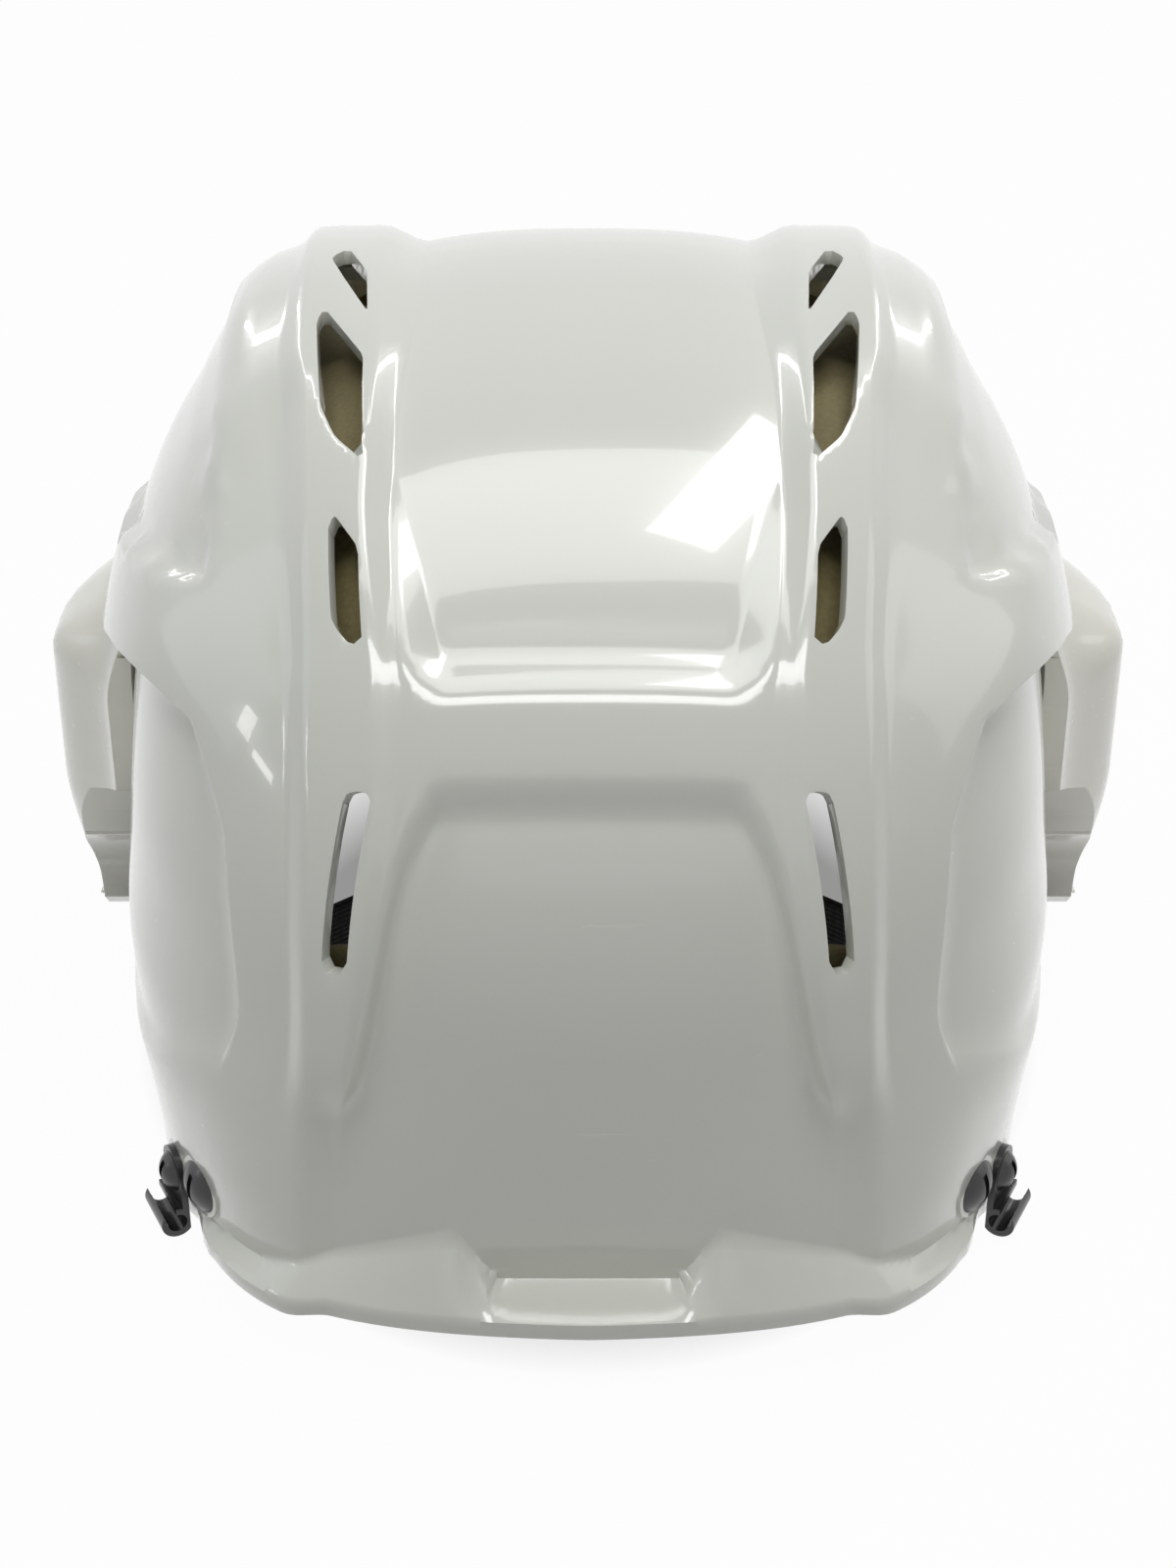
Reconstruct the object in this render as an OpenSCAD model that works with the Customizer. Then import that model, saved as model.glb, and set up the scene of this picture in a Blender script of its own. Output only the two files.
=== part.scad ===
/* [Dome] */
// Width of the dome at its widest line
dome_w = 200; // [192:1:208]
// Length of the dome in front of its widest section
dome_front = 139; // [132:1:146]
// Length of the dome behind its widest section
dome_back = 121; // [114:1:128]
// Rise of the dome over its widest line
dome_rise = 96; // [90:1:102]
// Height of the widest line over the table
waist_z = 72; // [68:1:76]
// Wall of both shells
wall = 3; // [2.6:0.1:3.4]

/* [Front shell] */
// Height of the two front-to-back ridges
ridge_h = 6; // [4:0.5:7]
// Added fullness of the ridges at the crown
crest_h = 4; // [2:0.5:5]
// Half distance between the inner edges of the ridges
ridge_in = 42; // [40:0.5:44]
// Half distance between the outer edges of the ridges
ridge_out = 57; // [55:0.5:60]
// Height of the cross band over the crown panel
band_h = 4.5; // [3:0.5:5]
// Half width of the crown panel where it meets the cross band
panel_w = 26; // [24:0.5:28]
// Half width of the forehead recess at its top edge
brow_w = 29; // [27:0.5:31]
// Swell of the shell outside the ridges
side_h = 3; // [2:0.5:3.5]
// Depth of the temple recess under the side flaps
recess_d = 4.5; // [4:0.25:5]
// Flare of the side flaps towards their edges
flap_out = 3.5; // [2:0.25:4]
// Draw-in of the temples towards the rim
waist_in = 6; // [4:0.25:7]
// Height of the rear end of each flap edge over the table
flap_z = 95; // [93:1:97]
// Overhang of the brow lip
lip_out = 11; // [9:0.5:13]
// Height of the brow lip beside its notch
lip_h = 19; // [15:1:21]
// Height of the rim of the brow lip
lip_rim = 4; // [3.5:0.25:4.5]
// Half width of the notch in the brow lip
notch_w = 17; // [15:0.5:19]
// Height of the middle of the brow over the table
brow_z = 15; // [12:1:17]

/* [Rear shell] */
// Gap between the two shells where they overlap
shell_gap = 0.6; // [0.5:0.05:0.8]
// Gap between the temple panels and the wings over them
wing_gap = 1; // [0.9:0.05:1.2]
// Length of the tongue that reaches under the front shell
tongue = 20; // [18:1:22]
// Travel of the size adjustment
travel = 14; // [10:1:15]
// Bulge of the ear pods over the rear shell
pod_out = 20; // [17:0.5:22]
// Place of the front edge of the ear pods
pod_y = 1.5; // [-0.5:0.5:3.5]

/* [Fasteners] */
// Diameter of the screw shanks
screw_d = 4.8; // [4:0.1:5]
// Clearance of a screw in its hole, in diameter
hole_play = 0.4; // [0.3:0.05:0.6]
// Head diameter of the visor screws
visor_head_d = 11.6; // [10:0.2:12]
// Head diameter of the adjustment screws
adjust_head_d = 8; // [7.6:0.1:8.4]
// Head diameter of the clip screws
clip_head_d = 8.6; // [8:0.1:9]
// Height of the screw heads
head_h = 2.6; // [2:0.2:3]

/* [Cage clips] */
// Width of a clip along its wire seat
clip_w = 11; // [10:0.5:12]
// Thickness of a clip's strip
clip_t = 1.4; // [1.3:0.1:1.8]
// Diameter of the wire seat
wire_d = 4.2; // [4:0.1:4.8]
// Drop of the wire seat below the clip screw
clip_drop = 9.6; // [9:0.2:10]

/* [Liner] */
// Thickness of the forehead and crown foam
foam_t = 12; // [10:0.5:14]
// Thickness of the side foam
foam_side_t = 10; // [8:0.5:11]
// Gap between foam and shell
foam_gap = 0.8; // [0.7:0.05:1]

/* [Chin strap] */
// Width of the webbing
web_w = 16; // [14:0.5:18]
// Thickness of the webbing
web_t = 2; // [1.6:0.1:2.4]
// Width of the chin cup
cup_w = 64; // [58:1:70]
// Height of the chin cup
cup_h = 34; // [30:1:38]

/* [Hidden] */
dome_y = 15.5;
dome_low = 230;
mid = [0, dome_y, waist_z];
fan_y = dome_y - 4;
fan_z = waist_z - 89;
fan_ball = 145;
exp_long = 2.35;
exp_side = 2.6;
exp_low = 0.8;
seam_t = 108.6;
lean = 30;
s_max = 256;
temple_s = 133;
step_w = 1.4;
flap_gap = 0.8;
fit = 0.1;

// Smooth step from 0 at a to 1 at b
function ramp(a, b, v) = let (k = max(0, min(1, (v - a) / (b - a)))) k * k * (3 - 2 * k);

// The dome is a rounded box about mid. A fan of planes about a low axis across the helmet lays its grid:
// t is the angle of a plane over the table, and s is the distance sideways on the middle of the shell.
function side_exp(q) = exp_side + exp_low * ramp(0.1, -0.4, q.z / norm(q));
function profile_gauge(y, z) =
    pow(pow(abs(y) / (y < 0 ? dome_front : dome_back), exp_long)
        + pow(abs(z) / (z > 0 ? dome_rise : dome_low), exp_long), 1 / exp_long);
function gauge(q) =
    let (m = side_exp(q)) pow(pow(abs(q.x) * 2 / dome_w, m) + pow(profile_gauge(q.y, q.z), m), 1 / m);
function guide(phi, t) =
    let (e = [sin(phi), -cos(phi) * cos(t), cos(phi) * sin(t)],
         l = [0, fan_y - dome_y, fan_z - waist_z],
         k = l * e)
    l + (sqrt(k * k - l * l + fan_ball * fan_ball) - k) * e;
function skin(phi, t) = let (q = guide(phi, t)) q / gauge(q) + mid;
function out_dir(p) =
    let (q = p - mid,
         m = side_exp(q),
         a = q.y < 0 ? dome_front : dome_back,
         c = q.z > 0 ? dome_rise : dome_low,
         w = dome_w / 2,
         g = pow(max(profile_gauge(q.y, q.z), 0.001), m - exp_long),
         n = [sign(q.x) * pow(abs(q.x) / w, m - 1) / w,
              g * sign(q.y) * pow(abs(q.y) / a, exp_long - 1) / a,
              g * sign(q.z) * pow(abs(q.z) / c, exp_long - 1) / c])
    n / norm(n);
function fan_t(p) = atan2(p.z - fan_z, fan_y - p.y);
function fan_phi(p) = atan2(p.x, norm([p.y - fan_y, p.z - fan_z]));
function reach(t) = let (p = skin(0, 2 * t - fan_t(skin(0, t)))) norm([p.y - fan_y, p.z - fan_z]);
function at(s, t) =
    let (phi = atan(s / reach(t)), p = skin(phi, t)) skin(2 * phi - fan_phi(p), 2 * t - fan_t(p));

// Style lines, each a distance sideways at the fan angle t
function ridge_inner(t) =
    lookup(t, [[28, ridge_in + 10], [33, ridge_in + 5.5], [39, ridge_in + 2], [44, ridge_in - 1],
               [50, ridge_in - 3.5], [57, ridge_in - 3.5], [68, ridge_in], [85, ridge_in + 1.5], [100, ridge_in + 4.5]]);
function ridge_outer(t) =
    lookup(t, [[28, ridge_out + 1], [33, ridge_out - 1.5], [39, ridge_out - 3.5], [50, ridge_out - 5.5],
               [59, ridge_out - 6], [85, ridge_out + 2]]);
function edge_low(t) =
    lookup(t, [[28, ridge_in + 4.5], [37, ridge_in - 1.5], [43.4, ridge_in - 6.6], [46.6, brow_w + 3], [49.5, brow_w - 3],
               [57.7, panel_w - 0.5], [71.5, ridge_in - 5], [100, ridge_in - 8]]);
function edge_high(t) =
    lookup(t, [[28, ridge_in + 7.5], [37, ridge_in + 1], [43.4, ridge_in - 3.4], [46.6, brow_w + 6.8], [49.5, brow_w + 3.4],
               [53.5, brow_w + 1.5], [56.2, panel_w + 4], [57, panel_w + 6.3], [59, panel_w + 7.9], [62.7, ridge_in - 6.6],
               [66.7, ridge_in - 5.4], [71.5, ridge_in - 4.4], [100, ridge_in - 5.5]]);
function shoulder(t) = 4 + 6 * ramp(78, 100, t);
function flap_s(t) =
    let (c = flap_z - fan_z, g = profile_gauge(fan_y - c / tan(t) - dome_y, flap_z - waist_z))
    reach(t) * dome_w / 2 * pow(1 - pow(g, exp_side), 1 / exp_side) * sin(t) / c;
function flap_line(t) =
    t > 85 ? flap_s(t) : lookup(t, [[28, 92], [34, 82], [38, 76], [50, 76], [57.4, 84], [67, 117], [76, 145], [85, flap_s(85)]]);

// Rise of the front shell's outer face over the dome
function ridge_rise(s, t) =
    let (x = abs(s), i = ridge_inner(t), o = ridge_outer(t))
    ramp(28, 36, t) * (ramp(i - shoulder(t), i, x) * ridge_h - ramp(o, o + 6, x) * (ridge_h - side_h))
    + crest_h * ramp(70, 98, t) * ramp(138, 112, t) * ramp(i - 2, 60, x) * ramp(104, 78, x);
function band_rise(s, t) =
    let (x = abs(s), step = max(0, min(1, (x - edge_low(t)) / (edge_high(t) - edge_low(t)))),
         outside = step + (ramp(0, 1, step) - step) * ramp(54, 50, t),
         ahead = ramp(51.5, 48.5, t), behind = ramp(55.2, 59, t), fade = max(0, min(1, (71.5 - t) / 13.8)))
    band_h * ramp(30, 38, t) * fade * (1 - (1 - outside) * max(ahead, behind))
    * ramp(ridge_inner(t), ridge_inner(t) - 4, x);
function cheek_rise(s, t) = side_h * ramp(50, 60, abs(s)) * ramp(36, 28, t);
function flare(s, t) =
    let (x = abs(s), f = flap_line(t), o = ridge_outer(t), k = ramp(58, 84, t),
         start = (f - 45) * (1 - k) + (o - 5) * k, full = (f - 2) * (1 - k) + (o + 14) * k)
    flap_out * ramp(start, full, x) * ramp(f + step_w, f - step_w, x) * ramp(50, 66, t);
function waist(s, t, z) = waist_in * ramp(66, 14, z) * ramp(50, 105, abs(s)) * ramp(84, 70, t);
function top_recess(s, t) =
    let (x = abs(s), low = lookup(t, [[67, 82], [69.6, 93], [74.2, 106], [78.2, 115.5], [89, 138], [seam_t, 144]]))
    3 * ramp(79, 84, x) * ramp(66, 69, t) * ramp(2, -4, x - low);
function temple_recess(s, t, z) =
    let (x = abs(s), f = flap_line(t), low = lookup(x, [[70, 68], [107, 46], [190, 42]]))
    recess_d * (0.45 + 0.55 * ramp(45, 70, t)) * ramp(f - step_w, f + step_w, x) * ramp(low - 4, low + 4, z) * ramp(34, 37, t);
function style(s, t, z) =
    ridge_rise(s, t) + band_rise(s, t) + cheek_rise(s, t) + flare(s, t) - waist(s, t, z) - top_recess(s, t)
    - temple_recess(s, t, z);

// The lip flares from the brow. Heights over the rim shrink towards the temples.
function rim_z(s) = max(0, brow_z * (1 - pow(abs(s) / temple_s, 3)));
function lip_top(s) =
    let (x = abs(s), rise = max(0, min(1, (x - notch_w - 1) / 8)) * max(0, min(1, (notch_w + 53 - x) / 44)))
    lip_rim + 1.5 + (lip_h - lip_rim - 1.5) * rise;
function lip_rise(s, v) =
    lip_out * (1 - 0.62 * pow(min(1, abs(s) / 85), 1.4)) * ramp(112, 86, abs(s)) * max(0, min(1, (lip_top(s) - v) / (lip_top(s) - lip_rim)));

function angle_at(s, z, lo = 0, hi = 60, n = 15) =
    n == 0 ? (lo + hi) / 2 :
    let (m = (lo + hi) / 2) at(s, m).z > z ? angle_at(s, z, lo, m, n - 1) : angle_at(s, z, m, hi, n - 1);

// A closed sheet between two faces of points, nu columns of nv. Turned swaps the diagonals of its facets.
function sheet_faces(nu, nv, turned) =
    let (m = nu * nv, half = floor(nu / 2))
    concat(
        [for (i = [0:nu - 2]) for (j = [0:nv - 2]) let (a = i * nv + j, b = a + nv)
            each (i < half) != turned ? [[a, a + 1, b], [b, a + 1, b + 1]] : [[a, b + 1, b], [a, a + 1, b + 1]]],
        [for (i = [0:nu - 2]) for (j = [0:nv - 2]) let (a = m + i * nv + j, b = a + nv)
            each (i < half) != turned ? [[a, b, a + 1], [b, b + 1, a + 1]] : [[a, b, b + 1], [a, b + 1, a + 1]]],
        [for (i = [0:nu - 2]) let (a = i * nv, b = a + nv) each [[a, b, m + a], [b, m + b, m + a]]],
        [for (i = [0:nu - 2]) let (a = i * nv + nv - 1, b = a + nv) each [[a, m + a, b], [b, m + a, m + b]]],
        [for (j = [0:nv - 2]) let (a = j, b = j + 1) each [[a, m + a, b], [b, m + a, m + b]]],
        [for (j = [0:nv - 2]) let (a = (nu - 1) * nv + j, b = a + 1) each [[a, b, m + a], [b, m + b, m + a]]]);
module sheet(outer, inner, nu, nv, turned = false) {
    polyhedron(concat(outer, inner), sheet_faces(nu, nv, turned), convexity = 10);
}

// Columns of the front shell follow its style lines
function panel_end(t) = s_max + 26 * ramp(84, 101, t);
function half_columns(t) =
    let (a = edge_low(t), b = edge_high(t), i = ridge_inner(t), o = ridge_outer(t), f = flap_line(t), k = max(b, i - shoulder(t)))
    concat([for (u = [0.3, 0.55, 0.8]) u * a],
           [a, b, (b + k) / 2 + 0.1, k + 0.2, i, (i + o) / 2, o, o + 6],
           [for (u = [1:4]) (o + 6) + (f - step_w - o - 6) * u / 4],
           [f + step_w],
           [for (u = [0.1, 0.23, 0.38, 0.54, 0.71, 0.86, 1]) (f + step_w) + (panel_end(t) - f - step_w) * u]);
function columns(t) = let (h = half_columns(t), n = len(h)) concat([for (i = [n - 1:-1:0]) -h[i]], [0], h);

low_half = concat([notch_w + 1, notch_w + 5, notch_w + 9], [for (k = [3:len(half_columns(lean)) - 1]) half_columns(lean)[k]]);
low_columns = concat([for (k = [len(low_half) - 1:-1:0]) -low_half[k]], [0], low_half);
function front_levels(s) =
    let (crest = max(lip_top(s), lip_rim + 4.5))
    [0, lip_rim, lip_rim + 1.5, (lip_rim + 1.5 + crest) / 2, crest, (crest + lip_h + 8) / 2, lip_h + 8];
front_rows = [33, 36, 39, 42, 45, 47, 49, 51, 53, 55, 56.8, 58.2, 60, 63, 66, 69, 72, 75, 79, 83, 87, 91, 95, 100, 104.5, seam_t];
front_cols = [for (t = front_rows) columns(t)];
function low_scale(s) = (at(s, lean).z - rim_z(s)) / (at(0, lean).z - rim_z(0));
function front_col(i) =
    let (s = low_columns[i], k = low_scale(s))
    concat([for (v = front_levels(s)) [s, angle_at(s, rim_z(s) + v * k, 0, lean), v]],
           [for (j = [0:len(front_rows) - 1]) [front_cols[j][i], front_rows[j], lip_h + 9]]);
front_grid = [for (i = [0:len(low_columns) - 1]) each front_col(i)];
function front_face(h, shift) =
    [for (c = front_grid) let (p = at(c[0], c[1]))
        p + out_dir(p) * (style(c[0], c[1], p.z) + lip_rise(c[0], c[2] + shift) + h)];

// Rear shell: tongue under the front shell, wings over its temple recesses, ear pods and nape
panel_h = side_h - recess_d;
wing_h = panel_h + wing_gap;
rear_rows = [79, 84, 88, 92, 96, 100, 104, seam_t, 113, 118, 123, 128];
rear_parts = [0.14, 0.28, 0.42, 0.56, 0.7, 0.85, 1];
rear_half = [14, 28, ridge_in - 4, ridge_in, (ridge_in + ridge_out) / 2 + 1, ridge_out + 2, ridge_out + 8];
function seam_y(z) = fan_y + (z - fan_z) * tan(seam_t - 90);
function side_end(t) =
    lookup(t, [[79, 270], [82, 278], [92, 303], [100, 350], [107, 395], [127, 440], [143, 455], [152, 400], [180, 300]]);
// Two columns follow the height of the flap, up to where the shells part
function flap_column(t) =
    let (k = ramp(113, 128, t), start = rear_half[len(rear_half) - 1])
    flap_s(min(t, 113)) * (1 - k) + (start + (side_end(t) - start) * 0.35) * k;
function rear_s(i, t) =
    let (n = len(rear_half), k = abs(i) - n, start = rear_half[n - 1], f = flap_column(t))
    i == 0 ? 0 : sign(i) * (k <= 0 ? rear_half[k + n - 1]
        : k <= rear_above ? start + (f - 5 - start) * k / rear_above
        : f + 0.6 + (side_end(t) - f - 0.6) * pow((k - rear_above - 1) / rear_below, 1.15));
rear_above = 6;
rear_below = 16;
rear_span = len(rear_half) + rear_above + 1 + rear_below;
function rear_end(i, lo = 128, hi = 178, n = 16) =
    n == 0 ? (lo + hi) / 2 :
    let (m = (lo + hi) / 2) at(rear_s(i, m), m).z < 0 ? rear_end(i, lo, m, n - 1) : rear_end(i, m, hi, n - 1);
rear_grid = [for (i = [-rear_span:rear_span]) let (e = rear_end(i))
    each concat([for (t = rear_rows) [rear_s(i, t), t]],
                [for (f = rear_parts) let (t = 128 + (e - 128) * f) [rear_s(i, t), t]])];
function below_flap(p) = ramp(flap_z + 6, flap_z + 0.5, p.z);
function pod_rise(p) =
    below_flap(p) * (3.4 + (pod_out - 3.4) * ramp(pod_y - 3, pod_y + 27, p.y)) * ramp(88, 38, p.y)
    * ramp(flap_z + 3, flap_z - 17, p.z) * (1 - 0.22 * ramp(46, 12, p.z));
function rear_rise(s, t, p) =
    let (tuck = 4.2 * ramp(seam_t, seam_t - 4.5, t) * (1 - below_flap(p)),
         ridges = ridge_rise(s, t) * ramp(158, 138, t) + side_h * ramp(138, 158, t) * ramp(50, 66, abs(s)),
         wing = (wing_h + wall - side_h + wall + shell_gap) * below_flap(p) * ramp(95, 62, p.y) * ramp(60, 90, abs(p.x)))
    ridges - wall - shell_gap - tuck + wing;
function rear_outer(c) = let (p = at(c[0], c[1])) p + out_dir(p) * (rear_rise(c[0], c[1], p) + pod_rise(p) * ramp(60, 88, abs(p.x)));
function rear_inner(c) =
    let (p = at(c[0], c[1]), hollow = ramp(pod_y + 30, pod_y + 40, p.y))
    p + out_dir(p) * (rear_rise(c[0], c[1], p) - wall + pod_rise(p) * hollow * ramp(60, 88, abs(p.x)));

// A frame on the shell: z along the given direction, x down, y along the shell
module seat(p, n) {
    translate(p) rotate([0, acos(n.z), atan2(n.y, n.x)]) children();
}
module both_sides() {
    children();
    mirror([1, 0, 0]) children();
}
module bar_slot(length, d, h) {
    for (y = [-length / 2, length / 2]) translate([0, y, 0]) cylinder(d = d, h = h, $fn = 32);
    translate([-d / 2, -length / 2, 0]) cube([d, length, h]);
}
function side_x(y, z, lift, x = 95, n = 4) =
    n == 0 ? x :
    let (q = [x, y, z], t = fan_t(q), s = reach(t) * tan(fan_phi(q)), p = at(s, t), r = p + out_dir(p) * (style(s, t, p.z) + lift))
    side_x(y, z, lift, x + r.x - q.x, n - 1);
function level(v) = let (n = [v.x, v.y, 0]) n / norm(n);
function on_shell(s, t) = let (p = at(s, t)) p + out_dir(p) * style(s, t, p.z);

visor_s = 102;
visor_t = 19;
visor_p = on_shell(visor_s, visor_t);
visor_n = level(out_dir(visor_p));
clip_s = 123;
clip_t_angle = 19;
clip_p = on_shell(clip_s, clip_t_angle);
clip_n = level(out_dir(clip_p));
inner_seat = -wall - 1.6;
seat_h = 0.5;
adjust_y = 23.5;
adjust_z = [flap_z - 34, flap_z - 15];
adjust_x = dome_w / 2 + panel_h;
slot_d = screw_d + hole_play;
nut_d = 12;
nut_h = 1.4;
barrel_d = screw_d + 2.6;

// Vents: outlines along the ridge, x towards its outer edge and y towards the crown
vent_1 = [[-3.9, -22], [-2.4, -19.5], [1.6, -4], [4.6, 6.5], [4.2, 10], [1.6, 14], [0.2, 11], [-3, -1]];
vent_2 = [[-6.8, -31.7], [-4.6, -31.2], [-0.5, -23.5], [2.9, -13.2], [6, 19.5], [4.6, 24], [-4.7, 4], [-5.4, 1]];
vent_3 = [[-4.3, -18.5], [-1.9, -18.9], [0, -17.5], [1.7, -13.5], [3.1, 9], [1.8, 11], [-3.4, 2], [-3.8, -2]];
vent_4 = [[-0.9, -13], [0.4, -14.4], [2.8, -14.4], [4, -12.5], [-1.4, 17.5], [-2.6, 19.2], [-5.2, 19.2], [-6.4, 17.5]];
front_vents = [[50, 95.5, vent_1], [50, 81.5, vent_2], [45.5, 64.5, vent_3], [45.6, 45.2, vent_4]];
vent_5 = [[-4, -14], [3, -14], [5, -8], [3, 12], [0, 15], [-4, 10]];
rear_vents = [[50, 119, vent_5], [50, 131, vent_5]];
module vent(v) {
    p = on_shell(v[0], v[1]);
    n = out_dir(p);
    up = at(v[0], v[1] + 1) - at(v[0], v[1] - 1);
    y = (up - (up * n) * n) / norm(up - (up * n) * n);
    x = cross(y, n);
    multmatrix([[x.x, y.x, n.x, p.x], [x.y, y.y, n.y, p.y], [x.z, y.z, n.z, p.z], [0, 0, 0, 1]])
        translate([0, 0, -14]) linear_extrude(28) polygon(v[2]);
}

module front_shell() {
    color("ivory") difference() {
        union() {
            sheet(front_face(0, 0), front_face(-wall, wall), len(low_columns), len(front_levels(0)) + len(front_rows));
            both_sides() {
                seat(visor_p, visor_n) translate([0, 0, inner_seat]) cylinder(d = visor_head_d + 2, h = seat_h - inner_seat, $fn = 32);
                seat(clip_p, clip_n) translate([0, 0, inner_seat]) cylinder(d = nut_d + 1, h = seat_h - inner_seat, $fn = 32);
                translate([stud_x, strap_y, strap_z]) rotate([0, 90, 0]) cylinder(d = 11, h = 4.4, $fn = 40);
            }
        }
        both_sides() {
            for (v = front_vents) vent(v);
            seat(visor_p, visor_n) {
                translate([0, 0, inner_seat - 1]) cylinder(d = slot_d, h = 8, $fn = 32);
                translate([0, 0, seat_h]) cylinder(d = visor_head_d + 1, h = 4, $fn = 32);
            }
            seat(clip_p, clip_n) {
                translate([0, 0, inner_seat - 1]) cylinder(d = slot_d, h = 8, $fn = 32);
                translate([0, 0, seat_h]) cylinder(d = clip_w + 1, h = 4, $fn = 32);
            }
            for (z = adjust_z) translate([adjust_x - wall - 4, adjust_y, z]) rotate([0, 90, 0]) cylinder(d = slot_d, h = wall + 8, $fn = 32);
            translate([stud_x - 0.01, strap_y, strap_z]) rotate([0, 90, 0]) cylinder(d = stud_hole_d, h = stud_deep, $fn = 32);
        }
        translate([-200, -200, -50]) cube([400, 400, 50]);
    }
}
module rear_shell() {
    front_cut = [[-90, -30], [pod_y, -30], [pod_y, flap_z - step_w - flap_gap], [seam_y(flap_z) + 1.5, flap_z - step_w - flap_gap],
                 [seam_y(flap_z) + 1.5, flap_z + 6], [seam_y(flap_z + 6) - tongue, flap_z + 6],
                 [seam_y(200) - tongue, 200], [-90, 200]];
    color("floralwhite") difference() {
        sheet([for (c = rear_grid) rear_outer(c)], [for (c = rear_grid) rear_inner(c)],
              2 * rear_span + 1, len(rear_rows) + len(rear_parts), true);
        rotate([90, 0, 90]) translate([0, 0, -150]) linear_extrude(300) polygon(front_cut);
        translate([-200, -200, -50]) cube([400, 400, 50]);
        both_sides() {
            for (v = rear_vents) vent(v);
            for (z = adjust_z) translate([adjust_x, adjust_y - travel / 2, z]) rotate([0, 90, 0]) {
                bar_slot(travel, slot_d, 40);
                translate([0, 0, wing_gap + wall]) bar_slot(travel, adjust_head_d + 1.4, 40);
            }
        }
    }
}

// Round-headed screw along z, its head on z = 0 and its shank down to -length
module screw(head_d, length) {
    dome = head_d * head_d / 8 / head_h + head_h / 2;
    difference() {
        union() {
            translate([0, 0, -length]) cylinder(d = screw_d, h = length + 0.1, $fn = 32);
            intersection() {
                translate([0, 0, head_h - dome]) sphere(r = dome, $fn = 48);
                cylinder(d = head_d, h = head_h, $fn = 48);
            }
        }
        translate([-head_d / 2, -0.7, head_h - 1.1]) cube([head_d, 1.4, 2]);
    }
}
// T-nut with its flange under z = 0
module t_nut(length) {
    difference() {
        union() {
            translate([0, 0, -nut_h]) cylinder(d = nut_d, h = nut_h, $fn = 40);
            translate([0, 0, -length]) cylinder(d = barrel_d, h = length, $fn = 32);
        }
        translate([0, 0, -length - 1]) cylinder(d = screw_d + fit, h = length + 2, $fn = 32);
    }
}
module visor_screws() {
    color("black") both_sides() seat(visor_p, visor_n) translate([0, 0, seat_h]) screw(visor_head_d, seat_h - inner_seat + 5);
}
module visor_nuts() {
    color("silver") both_sides() seat(visor_p, visor_n) translate([0, 0, inner_seat]) t_nut(5);
}
module clip_screws() {
    color("black") both_sides() seat(clip_p, clip_n) translate([0, 0, seat_h + clip_t + 0.1]) screw(clip_head_d, seat_h + clip_t + 0.1 - inner_seat + 5);
}
module clip_nuts() {
    color("silver") both_sides() seat(clip_p, clip_n) translate([0, 0, inner_seat]) t_nut(5);
}
module cage_clip() {
    wall_r = wire_d / 2 + clip_t;
    eye_z = wall_r - 0.7;
    difference() {
        union() {
            translate([0, 0, 0.05]) cylinder(d = clip_w, h = clip_t, $fn = 40);
            translate([0, -clip_w / 2, 0.05]) cube([clip_drop, clip_w, clip_t]);
            translate([clip_drop, clip_w / 2, eye_z]) rotate([90, 0, 0]) cylinder(r = wall_r, h = clip_w, $fn = 48);
        }
        translate([0, 0, -1]) cylinder(d = screw_d + fit, h = clip_t + 3, $fn = 32);
        translate([clip_drop, clip_w, eye_z]) rotate([90, 0, 0]) cylinder(d = wire_d, h = 2 * clip_w, $fn = 48);
        translate([clip_drop - wall_r - 2, -clip_w, eye_z + 0.2]) cube([wall_r + 2, 2 * clip_w, wire_d * 0.62]);
        translate([0, -clip_w, -9.95]) cube([clip_drop + wall_r + 1, 2 * clip_w, 10]);
    }
}
module clip_right() { color("black") seat(clip_p, clip_n) translate([0, 0, seat_h]) cage_clip(); }
module clip_left() { color("black") mirror([1, 0, 0]) seat(clip_p, clip_n) translate([0, 0, seat_h]) cage_clip(); }
module adjust_screws() {
    color("black") both_sides() for (z = adjust_z)
        translate([adjust_x + wing_gap + wall + 0.1, adjust_y, z]) rotate([0, 90, 0]) screw(adjust_head_d, 2 * wall + wing_gap + 4);
}
module adjust_nuts() {
    color("silver") both_sides() for (z = adjust_z)
        translate([adjust_x - wall - 0.3, adjust_y, z]) rotate([0, 90, 0]) t_nut(3.4);
}

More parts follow.
